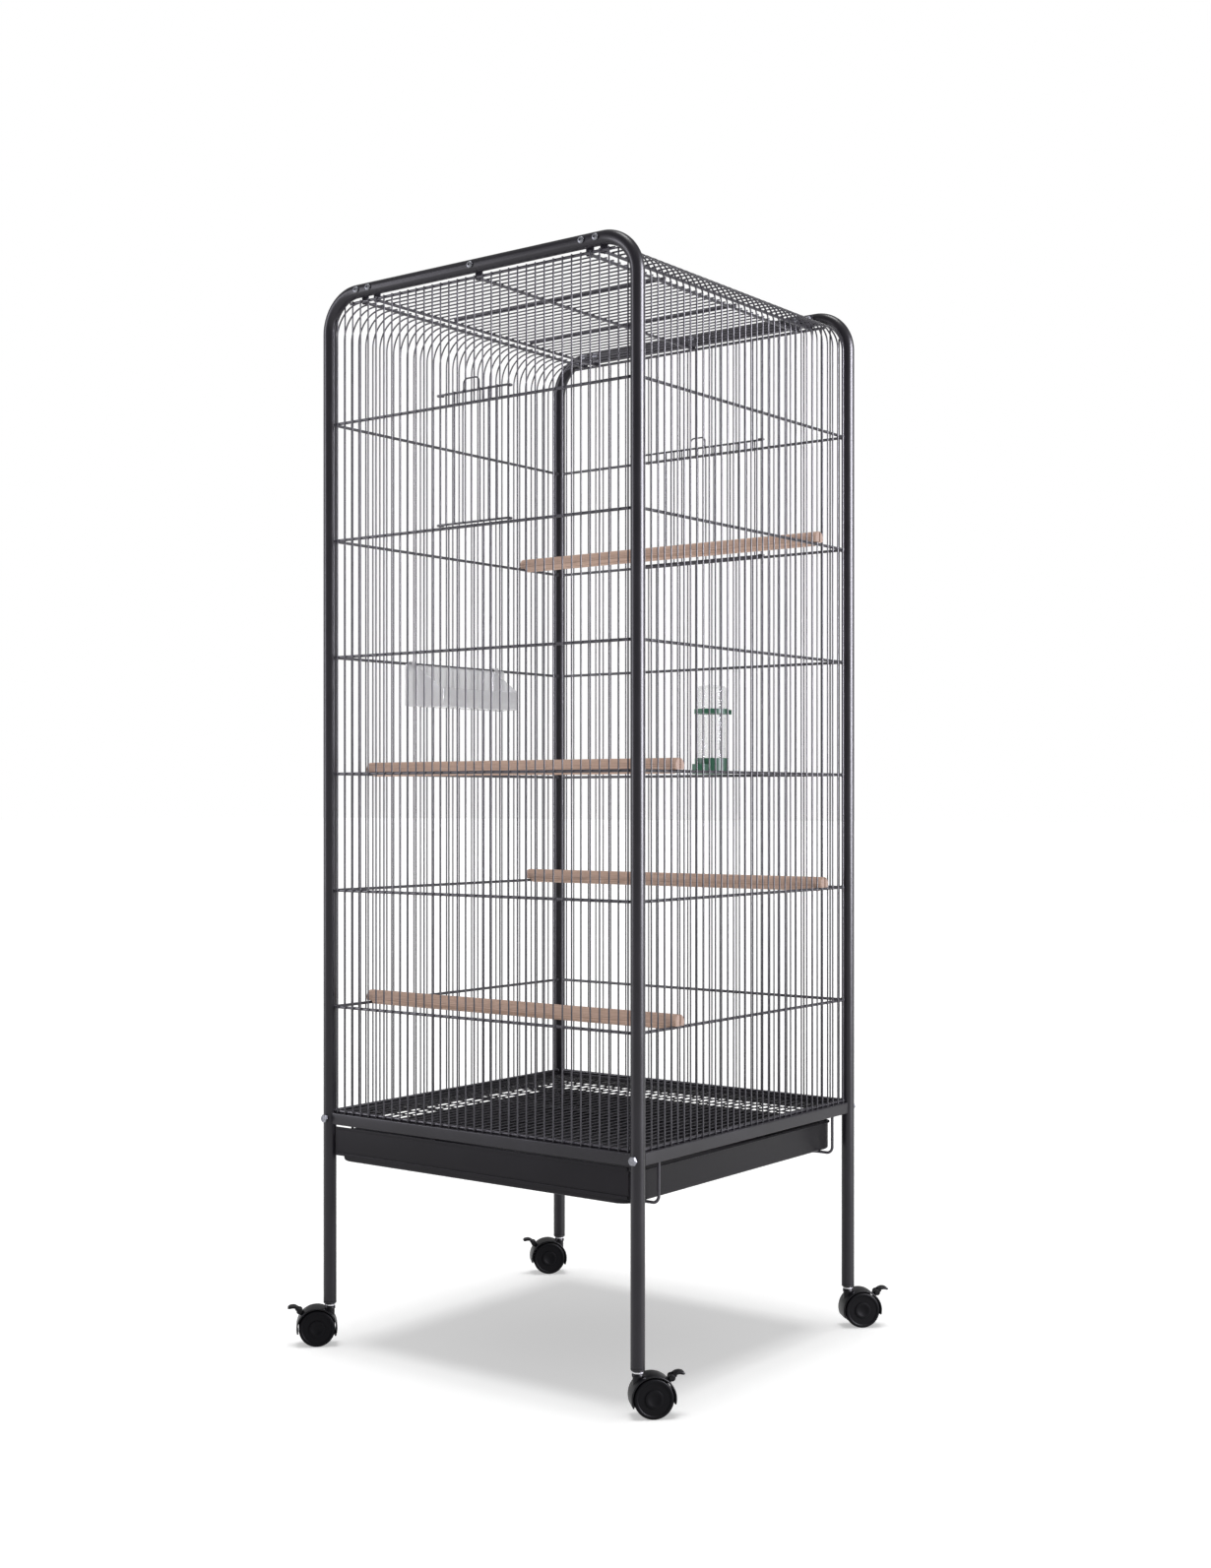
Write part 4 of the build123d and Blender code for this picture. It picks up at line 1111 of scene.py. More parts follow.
    def hexagon(self, skin: Skin, place: Point, outward: Point, flats: float, height: float,
                hole: float = 0.0) -> None:
        """Hexagonal head or nut with chamfered corners and a washer face.

        Args:
            skin: where to add it.
            place: the middle of the seat.
            outward: direction from the seat to the far face.
            flats: distance between opposite flats.
            height: its height.
            hole: radius of the hole in the far face, or zero.
        """
        half = flats / 2
        profile = [(0.0, 0.0), (half * 0.96, 0.0), (half * 0.98, height * 0.08), (half, height * 0.1),
                   (half, height * 0.86), (half * 0.97, height)]
        if hole > 0:
            profile += [(hole, height), (hole * 0.9, height * 0.6), (0.0, height * 0.6)]
        else:
            profile += [(half * 0.62, height), (half * 0.58, height * 0.93), (0.0, height * 0.93)]
        skin.lathe(profile, place, outward, 48, SixSided(frozenset({2, 3}), 0.0).scale)

    def lug_bolts(self) -> None:
        """Button-head bolts through the arches and lugs."""
        place = self.layout
        skin = Skin()
        for side in Side:
            y = side.value * (place.post_y + place.tube)
            tip = side.value * (place.post_y - place.tube - place.lug_thickness - self.nut_height)
            for x in place.lug_places:
                self.button_head(skin, (x, y, place.arch_top), (0, side.value, 0))
                shank = column(x, np.array([y, tip]), place.arch_top)
                skin.tube(shank, self.shank, (0, 0, 1), 20, bevel=self.shank_edge)
        skin.build("lug_bolt_set", self.finishes.bolt, "cage", "bolt_zinc", ["lug_bolts"])

    def lug_nuts(self) -> None:
        """Nuts behind the lugs."""
        place = self.layout
        skin = Skin()
        for side in Side:
            y = side.value * (place.post_y - place.tube - place.lug_thickness)
            for x in place.lug_places:
                self.hexagon(skin, (x, y, place.arch_top), (0, -side.value, 0), self.nut_flats,
                             self.nut_height, self.shank * 1.05)
        skin.build("lug_nut_set", self.finishes.bolt, "cage", "bolt_zinc", ["lug_nuts"])

    def rail_bolts(self) -> None:
        """Hexagon bolts through the posts into the side rails."""
        place = self.layout
        skin = Skin()
        height = (place.rail_low + place.rail_top) / 2
        for corner in Corner:
            side_x, side_y = corner.value[1], corner.value[2]
            x = side_x * place.post_x
            y = side_y * (place.post_y + place.tube)
            self.hexagon(skin, (x, y, height), (0, side_y, 0), self.hex_flats, self.hex_height)
        skin.build("rail_bolt_set", self.finishes.bolt, "cage", "bolt_zinc", ["rail_bolts"])


# ---- wire work
@dataclass
class WireWork:
    """Panels, roof and floor grid: round wires, the rods they lie on, and a weld bead at each crossing."""

    layout: Layout
    finishes: Finishes
    bead: float = 0.0019
    side_bend: float = 0.044
    lug_width: float = 0.012
    lug_margin: float = 0.006
    lug_corner: float = 0.0025
    tie_radius: float = 0.0015
    tie_half_spaces: int = 6
    front_door_half_spaces: int = 4
    rear_door_half_spaces: int = 8
    door_hoop: int = 4
    rod_sides: int = 14
    squash: float = 0.9
    end_bead_depth: float = 0.0016
    end_bead_reach: float = 0.0028
    end_bead_shift: float = 0.0002
    lug_bead: Point = (0.0031, 0.0012, 0.0031)
    bend_edge: float = 0.0003
    grid_wire: float = 0.001
    grid_corner: float = 0.01
    grid_bead: Point = (0.0015, 0.0015, 0.0009)
    shelf_half: float = 0.008
    shelf_reach: float = 0.008
    shelf_from_post: float = 0.09
    shelf_corner: float = 0.0007
    shelf_edge: float = 0.0003

    def build(self) -> None:
        """Make every panel."""
        self.end_panel(Side.LOW, self.front_door_half_spaces)
        self.end_panel(Side.HIGH, self.rear_door_half_spaces)
        for side in Side:
            self.side_panel(side)
        self.roof()
        self.floor_grid()
        self.grid_lugs()

    def arch_clear_height(self, xs: Array) -> Array:
        """Height at which each upright meets the arch, or the top of the rod under it.

        Inside the bend the tube's inner surface is a quarter circle of the bend radius less the tube's.

        Args:
            xs: X of the uprights.

        Returns:
            Their top ends' heights.
        """
        place = self.layout
        edge = np.abs(xs) + place.wire
        inner = place.arch_bend - place.tube
        over = np.clip(edge - (place.post_x - place.arch_bend), 0, inner)
        bend = place.arch_top - place.arch_bend + np.sqrt(inner**2 - over**2)
        return np.minimum(bend, place.top_rod + place.rod)

    def hoop_heights(self) -> Array:
        """Heights of the hoops and of the rod that lies on the rails."""
        return np.append(self.layout.hoops, self.layout.rail_top + self.layout.rod)

    def end_panel(self, side: Side, door: int) -> None:
        """Front or rear panel with its doorway.

        Args:
            side: which end of the cage.
            door: half the doorway's width, in wire spaces.
        """
        place = self.layout
        name = side.along_y
        y, rod_y = side.value * place.post_y, side.value * (place.post_y - place.inset)
        heights = self.hoop_heights()
        reach = place.post_x - math.sqrt(place.tube**2 - (place.inset - place.rod) ** 2)
        inner = place.arch_bend - place.tube
        rise = place.top_rod + place.rod - (place.arch_top - place.arch_bend)
        top_reach = place.post_x - place.arch_bend + math.sqrt(inner**2 - rise**2)
        skin = Skin()
        skin.bars(column(-reach, rod_y, heights), column(reach, rod_y, heights), place.rod, self.rod_sides)
        skin.bars(column(-top_reach, rod_y, [place.top_rod]), column(top_reach, rod_y, [place.top_rod]),
                  place.rod, self.rod_sides)
        xs = place.uprights_x
        tops = self.arch_clear_height(xs)
        cut = np.abs(np.arange(len(xs)) - place.half_spaces + 1) < door
        sill = place.hoops[self.door_hoop] + place.rod
        head = place.hoops[self.door_hoop + 1] - place.rod
        skin.bars(column(xs, y, place.rail_top), column(xs, y, np.where(cut, sill, tops)), place.wire)
        skin.bars(column(xs[cut], y, head), column(xs[cut], y, tops[cut]), place.wire)
        contact = side.value * (place.post_y - place.wire)
        under = xs[np.abs(xs) < place.post_x - place.arch_bend]
        knots = np.concatenate([crossings(xs, contact, heights), crossings(under, contact, place.top_rod)])
        skin.beads(knots, (self.bead, place.wire * self.squash, self.bead))
        for post_sign in (-1, 1):
            ends = crossings(post_sign * (reach + self.end_bead_shift), rod_y, heights)
            skin.beads(ends, (self.end_bead_depth, self.end_bead_reach, self.end_bead_reach), 6, 12)
        skin.build(f"panel_{name}", self.finishes.wire, "cage", "wire_black", [f"{name}_panel"])

    def lug(self, skin: Skin, x: float, side: Side) -> None:
        """Plate behind an arch that holds the end of a long rod.

        Args:
            skin: where to add it.
            x: its middle.
            side: which arch.
        """
        place = self.layout
        face = side.value * (place.post_y - place.tube)
        back = face - side.value * place.lug_thickness
        low, high = place.top_rod - place.rod, place.arch_top + self.lug_margin
        outline = rounded_rectangle(self.lug_width / 2, (high - low) / 2, self.lug_corner)
        skin.plate(outline + np.array([x, (low + high) / 2]), min(face, back), max(face, back), "Y")
        skin.beads(column(x, back, [place.top_rod]), self.lug_bead, 6, 12)

    def long_rod(self, skin: Skin, x: float) -> None:
        """Rod along Y under the roof, with a lug at each end.

        Args:
            skin: where to add it.
            x: X of the rod.
        """
        place = self.layout
        reach = place.post_y - place.tube - place.lug_thickness
        skin.bars(column(x, -reach, [place.top_rod]), column(x, reach, [place.top_rod]), place.rod,
                  self.rod_sides)
        for side in Side:
            self.lug(skin, x, side)

    def side_panel(self, side: Side) -> None:
        """Left or right panel: its uprights bend in under the roof and end on a long rod.

        Args:
            side: which side of the cage.
        """
        place = self.layout
        name = side.along_x
        x, rod_x = side.value * place.post_x, side.value * (place.post_x - place.inset)
        heights = self.hoop_heights()
        reach = place.post_y - math.sqrt(place.tube**2 - (place.inset - place.rod) ** 2)
        skin = Skin()
        skin.bars(column(rod_x, -reach, heights), column(rod_x, reach, heights), place.rod, self.rod_sides)
        self.long_rod(skin, side.value * place.side_rod)
        route = [(x, 0, place.rail_top), (x, 0, place.roof_wire),
                 (side.value * (place.side_rod - place.rod), 0, place.roof_wire)]
        path = bent_path(route, self.side_bend, 14)
        one = Skin()
        one.tube(path, place.wire, (0, 1, 0), 10, bevel=self.bend_edge)
        ys = place.uprights_y
        shifts = column(0.0, ys, 0.0)
        skin.repeat(shifts[:, None] + one.points[0][None], one.quads[0], one.tris[0])
        contact = side.value * (place.post_x - place.wire)
        squashed = place.wire * self.squash
        skin.beads(crossings(contact, ys, heights), (squashed, self.bead, self.bead))
        on_rod = place.top_rod + place.rod
        skin.beads(crossings(side.value * place.side_rod, ys, on_rod), (self.bead, self.bead, squashed))
        for post_sign in (-1, 1):
            ends = crossings(rod_x, post_sign * (reach + self.end_bead_shift), heights)
            skin.beads(ends, (self.end_bead_reach, self.end_bead_depth, self.end_bead_reach), 6, 12)
        skin.build(f"panel_{name}", self.finishes.wire, "cage", "wire_black", [f"{name}_panel"])

    def roof(self) -> None:
        """Flat roof: cross wires on three long rods, with two tie rods on top."""
        place = self.layout
        rods = np.array([-place.roof_rod, 0.0, place.roof_rod])
        reach = place.roof_rod + place.rod
        ys = place.uprights_y
        tie = self.tie_half_spaces * place.post_y / place.half_spaces
        ties = np.array([-tie, tie])
        tie_height = place.roof_wire + place.wire + self.tie_radius + place.weld_gap
        skin = Skin()
        for x in rods:
            self.long_rod(skin, float(x))
        skin.bars(column(-reach, ys, place.roof_wire), column(reach, ys, place.roof_wire), place.wire)
        skin.bars(column(-reach, ties, tie_height), column(reach, ties, tie_height), self.tie_radius,
                  self.rod_sides)
        skin.beads(crossings(rods, ys, place.top_rod + place.rod),
                   (self.bead, self.bead, place.wire * self.squash))
        tied = ys[np.min(np.abs(ys[:, None] - ties), axis=1) < place.rod * 2]
        skin.beads(crossings(rods, tied, place.roof_wire + place.wire), (self.bead, self.bead, place.wire))
        skin.build("roof_wires", self.finishes.wire, "cage", "wire_black", ["roof_panel"])

    def floor_grid(self) -> None:
        """Floor grid: a bent rod frame, fine wires both ways and three thick cross rods."""
        place = self.layout
        low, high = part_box("floor_grid")
        wire = self.grid_wire
        edge_x, edge_y = high.x - place.rod, high.y - place.rod
        frame_z = low.z + place.rod
        long_z = high.z - wire
        cross_z = long_z - 2 * wire - place.weld_gap
        skin = Skin()
        outline = rounded_rectangle(edge_x, edge_y, self.grid_corner, 10)
        loop = column(outline[:, 0], outline[:, 1], frame_z)
        skin.tube(loop, place.rod, (0, 0, 1), self.rod_sides, closed=True)
        xs = place.uprights_x
        skin.bars(column(xs, -edge_y, long_z), column(xs, edge_y, long_z), wire, 8)
        inner_x, inner_y = edge_x - place.rod, edge_y - place.rod
        thick = np.array([-inner_y / 2, 0.0, inner_y / 2])
        skin.bars(column(-inner_x, thick, frame_z), column(inner_x, thick, frame_z), place.rod,
                  self.rod_sides)
        ys = place.uprights_y[::2]
        ys = ys[np.abs(ys) < edge_y - self.grid_corner]
        ys = ys[np.min(np.abs(ys[:, None] - thick), axis=1) > 2 * place.rod]
        skin.bars(column(-inner_x, ys, cross_z), column(inner_x, ys, cross_z), wire, 8)
        knots = np.concatenate([crossings(xs, ys, long_z - wire), crossings(xs, thick, frame_z + place.rod),
                                crossings(xs, np.array([-edge_y, edge_y]), frame_z + place.rod)])
        skin.beads(knots, self.grid_bead, 2, 6)
        skin.build("floor_wires", self.finishes.grid, "cage", "wire_black", ["floor_grid"])

    def grid_lugs(self) -> None:
        """Small shelves on the rails under the floor grid."""
        place = self.layout
        low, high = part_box("grid_lugs")
        half = self.shelf_half
        skin = Skin()
        for side in Side:
            for end in Side:
                for axis, post in ((0, (place.post_x, place.post_y)), (1, (place.post_y, place.post_x))):
                    face = side.value * (post[0] - place.rail_half)
                    tip = face - side.value * self.shelf_reach
                    at = end.value * (post[1] - self.shelf_from_post)
                    lows, highs = [0.0, 0.0, low.z], [0.0, 0.0, high.z]
                    lows[axis], highs[axis] = sorted((face, tip))
                    lows[1 - axis], highs[1 - axis] = at - half, at + half
                    skin.box(lows, highs, "Z", self.shelf_corner, self.shelf_edge)
        skin.build("grid_shelves", self.finishes.frame, "cage", "frame_black", ["grid_lugs"])


# ---- doors
@dataclass
class SlidingDoor:
    """A lift-up door of wires between two bars that loop round the guide uprights."""

    layout: Layout
    finishes: Finishes
    side: Side
    half_spaces: int
    bar: float = 0.0015
    gap: float = 0.0004
    loop_clearance: float = 0.0005
    handle_width: float = 0.026
    bead: float = 0.0018
    bead_squash: float = 0.8
    handle_bead: Point = (0.0018, 0.0013, 0.0014)
    top_hoop: int = 5
    above_hoop: float = 0.014
    bar_edge: float = 0.0003
    handle_edge: float = 0.0002

    @property
    def name(self) -> str:
        """The door's node and body."""
        return f"{self.side.along_y}_door"

    def bar_path(self, height: float) -> Array:
        """Line of a bar: along the outside, round a guide upright at each end and behind it.

        Args:
            height: height of the bar.

        Returns:
            Points from one end to the other.
        """
        place, sign = self.layout, self.side.value
        ring = place.wire + self.loop_clearance + self.bar
        guide = self.half_spaces * place.post_x / place.half_spaces
        back = sign * (place.post_y - ring)
        out = sign * (place.post_y + place.wire + self.gap + self.bar)
        left = [(-guide + ring, back, height), (-guide - ring, back, height), (-guide - ring, out, height)]
        right = [(-x, y, z) for x, y, z in reversed(left)]
        return bent_path(left + right, self.bar + self.loop_clearance / 2, 8)

    def build(self) -> None:
        """Make the door."""
        place, sign = self.layout, self.side.value
        low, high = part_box(self.name)
        bottom = low.z + self.bar
        top = place.hoops[self.top_hoop] + self.above_hoop
        skin = Skin()
        for height in (bottom, top):
            skin.tube(self.bar_path(height), self.bar, (0, 0, 1), 14, bevel=self.bar_edge)
        wire_y = sign * (place.post_y + 2 * place.wire + self.gap + 2 * self.bar + place.weld_gap)
        xs = np.arange(-self.half_spaces + 1, self.half_spaces) * place.post_x / place.half_spaces
        skin.bars(column(xs, wire_y, bottom - self.bar), column(xs, wire_y, top + self.bar), place.wire)
        contact = wire_y - sign * place.wire
        skin.beads(crossings(xs, contact, np.array([bottom, top])),
                   (self.bead, place.wire * self.bead_squash, self.bead))
        half = self.handle_width / 2
        foot = top + self.bar
        handle = [(-half, wire_y, foot), (-half, wire_y, high.z - place.wire),
                  (half, wire_y, high.z - place.wire), (half, wire_y, foot)]
        skin.tube(bent_path(handle, self.handle_width / 4, 12), place.wire, (0, 1, 0), 12,
                  bevel=self.handle_edge)
        skin.beads(column(np.array([-half, half]), wire_y, foot), self.handle_bead, 4, 10)
        skin.build(f"{self.name}_wires", self.finishes.wire, self.name, "wire_black", [self.name])


# ---- tray
@dataclass
class Tray:
    """Pull-out tray: a pressed pan with a rolled rim, a hemmed front plate and two wire runners."""

    layout: Layout
    finishes: Finishes
    wall: float = 0.0012
    corner: float = 0.022
    lip: float = 0.0025
    press_radius: float = 0.004
    hem: float = 0.004
    hem_corner: float = 0.00058
    hem_inset: float = 0.001
    hem_overlap: float = 0.0003
    edge: float = 0.0005
    smallest_corner: float = 0.001
    runner: float = 0.002
    runner_bend: float = 0.009
    runner_edge: float = 0.0002
    runner_bead: Point = (0.003, 0.003, 0.0014)

    def build(self) -> None:
        """Make the tray and its runners."""
        self.pan()
        self.front()
        for side in Side:
            self.runner_wire(side)

    def pan(self) -> None:
        """The pan: rings of one rounded outline, up the outside, over the rim and down inside.

        Each ring is the wall's outline moved out by a distance at a height; pressed edges are quarter
        circles, and the rim is a half circle rolled outwards.
        """
        low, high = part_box("tray_pan")
        half_x = high.x - self.lip
        back, front = high.y - self.lip, low.y
        half_y, middle_y = (back - front) / 2, (back + front) / 2
        radius, wall = self.press_radius, self.wall
        bend = np.linspace(-math.pi / 2, 0, 7)
        outer = [(-radius + radius * math.cos(a), low.z + radius + radius * math.sin(a)) for a in bend]
        roll = wall * 0.9
        skirt = [(self.lip - roll, high.z - 2.2 * roll), (self.lip - 0.0002, high.z - 1.8 * roll),
                 (self.lip, high.z - roll), (self.lip - 0.0004, high.z - 0.0003), (self.lip - 0.001, high.z)]
        inner_radius = radius - wall
        inner = [(-radius + inner_radius * math.cos(a), low.z + radius + inner_radius * math.sin(a))
                 for a in bend[::-1]]
        under = [(0.0, high.z - 3 * roll), (0.0004, high.z - 2.4 * roll)]
        over = [(-wall + 0.0003, high.z), (-wall, high.z - 0.0004)]
        rows = outer + under + skirt + over + inner
        rings = []
        for out, height in rows:
            corner = max(self.corner + out, self.smallest_corner)
            outline = rounded_rectangle(half_x + out, half_y + out, corner, 10)
            rings.append(column(outline[:, 0], middle_y + outline[:, 1], height))
        stacked = np.stack(rings)
        stacked[:, :, 1] = np.maximum(stacked[:, :, 1], front)
        skin = Skin()
        skin.stack(stacked, first=np.array([0, middle_y, low.z]), last=np.array([0, middle_y, low.z + wall]))
        skin.build("tray_pan_pressed", self.finishes.sheet, "tray", "tray_black", ["tray_pan"])

    def front(self) -> None:
        """Front plate with a folded hem along its top and bottom edges.

        The section is carried along X: a flat strip, with a round fold at each end.
        """
        low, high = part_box("tray_front")
        wall = self.wall
        skin = Skin()
        inner, face = high.y, high.y - wall
        skin.box((low.x, face, low.z), (high.x, inner, high.z), "X", self.edge, self.edge)
        for edge_low, edge_high in ((low.z, low.z + self.hem), (high.z - self.hem, high.z)):
            skin.box((low.x + self.hem_inset, low.y, edge_low),
                     (high.x - self.hem_inset, face + self.hem_overlap, edge_high), "X", self.hem_corner,
                     self.edge)
        skin.build("tray_front_plate", self.finishes.sheet, "tray", "tray_black", ["tray_front"])

    def runner_wire(self, side: Side) -> None:
        """Wire that hangs from a side rail and carries the tray.

        Args:
            side: left or right.
        """
        place = self.layout
        name = side.along_x
        low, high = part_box(f"{name}_runner")
        x_out = side.value * place.post_x
        inner = low.x if side is Side.HIGH else high.x
        x_in = inner + side.value * self.runner
        reach = high.y - self.runner
        height = low.z + self.runner
        route = [(x_out, -reach, place.rail_low), (x_out, -reach, height), (x_in, -reach, height),
                 (x_in, reach, height), (x_out, reach, height), (x_out, reach, place.rail_low)]
        skin = Skin()
        path = bent_path(route, self.runner_bend, 10)
        skin.tube(path, self.runner, (1.0, 1.0, 1.0), 16, bevel=self.runner_edge)
        ends = column(x_out, np.array([-reach, reach]), place.rail_low)
        skin.beads(ends, self.runner_bead, 4, 12)
        skin.build(f"{name}_runner_wire", self.finishes.wire, "cage", "wire_black", [f"{name}_runner"])


# ---- perches
@dataclass
class Perch:
    """A wooden dowel, slotted at each end for an upright and cut away under it for a hoop."""

    layout: Layout
    number: int
    slot: float = 0.0015
    chamfer: float = 0.0011
    rows: int = 36
    sides: int = 64
    beyond: float = 0.01
    hoop_below_middle: float = 0.007
    hoop_play: float = 0.0004
    hoop_clearance: float = 0.0003
    cutter_corner: float = 0.0003
    cutter_edge: float = 0.0001
    grain_shift: float = 0.37

    def build(self) -> None:
        """Make the dowel: a lathe with chamfered ends, cut by boxes at each end."""
        name = f"perch_{self.number}"
        place = self.layout
        low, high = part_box(name)
        middle_y, middle_z = (low.y + high.y) / 2, high.z - (high.y - low.y) / 2
        radius = (high.y - low.y) / 2
        profile = [(0.0, 0.0), (radius - self.chamfer, 0.0), (radius, self.chamfer)]
        length = high.x - low.x
        body = np.linspace(self.chamfer, length - self.chamfer, self.rows)[1:-1]
        profile += [(radius, float(height)) for height in body]
        profile += [(radius, length - self.chamfer), (radius - self.chamfer, length), (0.0, length)]
        skin = Skin()
        skin.lathe(profile, (low.x, middle_y, middle_z), (1, 0, 0), self.sides)
        wood = TurnedWood(f"perch_wood_{self.number}", middle_y, middle_z,
                          self.grain_shift * self.number).make()
        piece = skin.build(f"{name}_dowel", wood, name, "perch_wood", [name])
        cutter = Skin()
        beyond = self.beyond
        hoop = place.hoops[np.argmin(np.abs(place.hoops + self.hoop_below_middle - middle_z))]
        for sign in (-1, 1):
            tip = sign * (high.x + beyond)
            slot_start = sign * (place.post_x - self.slot)
            rest_start = sign * (place.post_x - place.inset - place.rod - self.hoop_play)
            for start, half, top in ((slot_start, self.slot, middle_z + radius + beyond),
                                     (rest_start, radius + beyond, hoop + place.rod + self.hoop_clearance)):
                lows = (min(start, tip), middle_y - half, middle_z - radius - beyond)
                highs = (max(start, tip), middle_y + half, top)
                cutter.box(lows, highs, "Z", self.cutter_corner, self.cutter_edge)
        tool = cutter.build(f"{name}_cutter", wood, name, "perch_wood")
        self.cut(piece, tool)

    def cut(self, piece: bpy.types.Object, tool: bpy.types.Object) -> None:
        """Take one closed mesh away from another for good.

        Args:
            piece: the mesh that is cut.
            tool: the mesh that cuts, which is removed.
        """
        boolean = piece.modifiers.new("slots", "BOOLEAN")
        boolean.operation = "DIFFERENCE"
        boolean.solver = "EXACT"
        boolean.use_self = True
        boolean.object = tool
        graph = bpy.context.evaluated_depsgraph_get()
        cut_mesh = bpy.data.meshes.new_from_object(piece.evaluated_get(graph))
        piece.modifiers.clear()
        piece.data = cut_mesh
        cut_mesh.shade_smooth()
        cut_mesh.set_sharp_from_angle(angle=SMOOTH_ANGLE)
        bpy.data.objects.remove(tool)


# ---- feeder
@dataclass
class Feeder:
    """Clear trough with a wide back plate, sloping ends and two hooks over a hoop."""

    layout: Layout
    finishes: Finishes
    wall: float = 0.002
    corner: float = 0.006
    front_drop: float = 0.036
    plate_margin: float = 0.024
    plate_corner: float = 0.0035
    plate_edge: float = 0.0004
    plate_overlap: float = 0.0015
    wire_play: float = 0.0005
    hook_width: float = 0.008
    hook_thickness: float = 0.0016
    hook_spaces: float = 6.5
    hook_drop: float = 0.009
    hook_overlap: float = 0.0002
    hook_corner: float = 0.0005
    arm_corner: float = 0.0006
    rib_half: float = 0.0008
    rib_corner: float = 0.0006
    floor_rib_half: float = 0.0007
    floor_rib_height: float = 0.0035
    floor_rib_corner: float = 0.0005
    rib_overlap: float = 0.0004

    def __post_init__(self) -> None:
        """Read its places: back and front along X, half its length along Y, its underside and the hoop."""
        place = self.layout
        low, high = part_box("feeder_trough")
        self.hoop = place.hoops[FEEDER_HOOP]
        self.back = -(place.post_x - place.inset - place.rod - self.wire_play)
        self.front = high.x
        self.half = high.y - self.plate_margin
        self.low = low.z

    def build(self) -> None:
        """Make the trough, its plate's wings and its hooks as one moulding."""
        low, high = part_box("feeder_trough")
        skin = Skin()
        self.trough(skin)
        self.ribs(skin)
        for sign in (-1, 1):
            inner, outer = sorted((sign * (self.half - self.plate_overlap), sign * high.y))
            outline = rounded_rectangle((outer - inner) / 2, (self.hoop - self.low) / 2, self.plate_corner)
            outline = outline + np.array([(inner + outer) / 2, (self.low + self.hoop) / 2])
            skin.plate(outline, self.back, self.back + self.wall, "X", self.plate_edge)
            self.hook(skin, sign, high.z, low.x)
        skin.build("feeder_moulding", self.finishes.clear, "feeder", "clear_plastic", ["feeder_trough"])

    def trough(self, skin: Skin) -> None:
        """Walls and floor: rings of one rounded outline, whose rim drops towards the front.

        A rim point's height is the hoop's less the front drop times its share of the way to the front.

        Args:
            skin: where to add them.
        """
        depth = self.front - self.back
        middle_x = (self.front + self.back) / 2
        radius = self.wall / 2
        rows = [(-0.0016, 0.0, 0), (-0.0005, 0.0005, 0), (0.0, 0.0016, 0)]
        rows += [(-radius + radius * math.cos(a), -radius + radius * math.sin(a), 1)
                 for a in np.linspace(0, math.pi, 7)]
        rows += [(-self.wall, self.wall + 0.0022, 0), (-self.wall - 0.0007, self.wall + 0.0006, 0),
                 (-self.wall - 0.0022, self.wall, 0)]
        rings = []
        for out, height, on_rim in rows:
            outline = rounded_rectangle(depth / 2 + out, self.half + out, self.corner + out, 8)
            x = middle_x + outline[:, 0]
            rim = self.hoop - self.front_drop * np.clip((x - self.back) / depth, 0, 1)
            rings.append(column(x, outline[:, 1], rim + height if on_rim else self.low + height))
        skin.stack(np.stack(rings), first=np.array([middle_x, 0, self.low]),
                   last=np.array([middle_x, 0, self.low + self.wall]))

    def ribs(self, skin: Skin) -> None:
        """Ledge and rib along the inside of the front wall, and two cross ribs on the floor.

        Args:
            skin: where to add them.
        """
        inside = self.front - self.wall
        floor = self.low + self.wall
        rim = self.hoop - self.front_drop
        for height, reach in ((rim - 0.003, 0.0045), (rim - 0.0125, 0.0022)):
            skin.box((inside - reach, -self.half + self.corner, height - self.rib_half),
                     (inside + self.rib_corner, self.half - self.corner, height + self.rib_half), "Y",
                     self.rib_corner)
        for share in (-1 / 3, 1 / 3):
            y = share * self.half
            skin.box((self.back + self.wall - self.rib_overlap, y - self.floor_rib_half,
                      floor - self.rib_overlap),
                     (inside + self.rib_overlap, y + self.floor_rib_half, floor + self.floor_rib_height),
                     "X", self.floor_rib_corner)

    def hook(self, skin: Skin, sign: int, top: float, far: float) -> None:
        """Hook from the back plate over the hoop and down behind it.

        Args:
            skin: where to add it.
            sign: which end.
            top: height of the hook's top.
            far: X of the hook's outer face.
        """
        place = self.layout
        y = sign * self.hook_spaces * place.post_y / place.half_spaces
        half, inner = self.hook_width / 2, self.back + self.wall
        foot, head = self.hoop - self.hook_drop, top - self.hook_overlap
        skin.box((self.back, y - half, foot), (inner, y + half, head), "Z", self.arm_corner)
        skin.box((far, y - half, top - self.hook_thickness), (inner, y + half, top), "X", self.hook_corner)
        skin.box((far, y - half, foot), (far + self.hook_thickness, y + half, head), "Z", self.hook_corner)


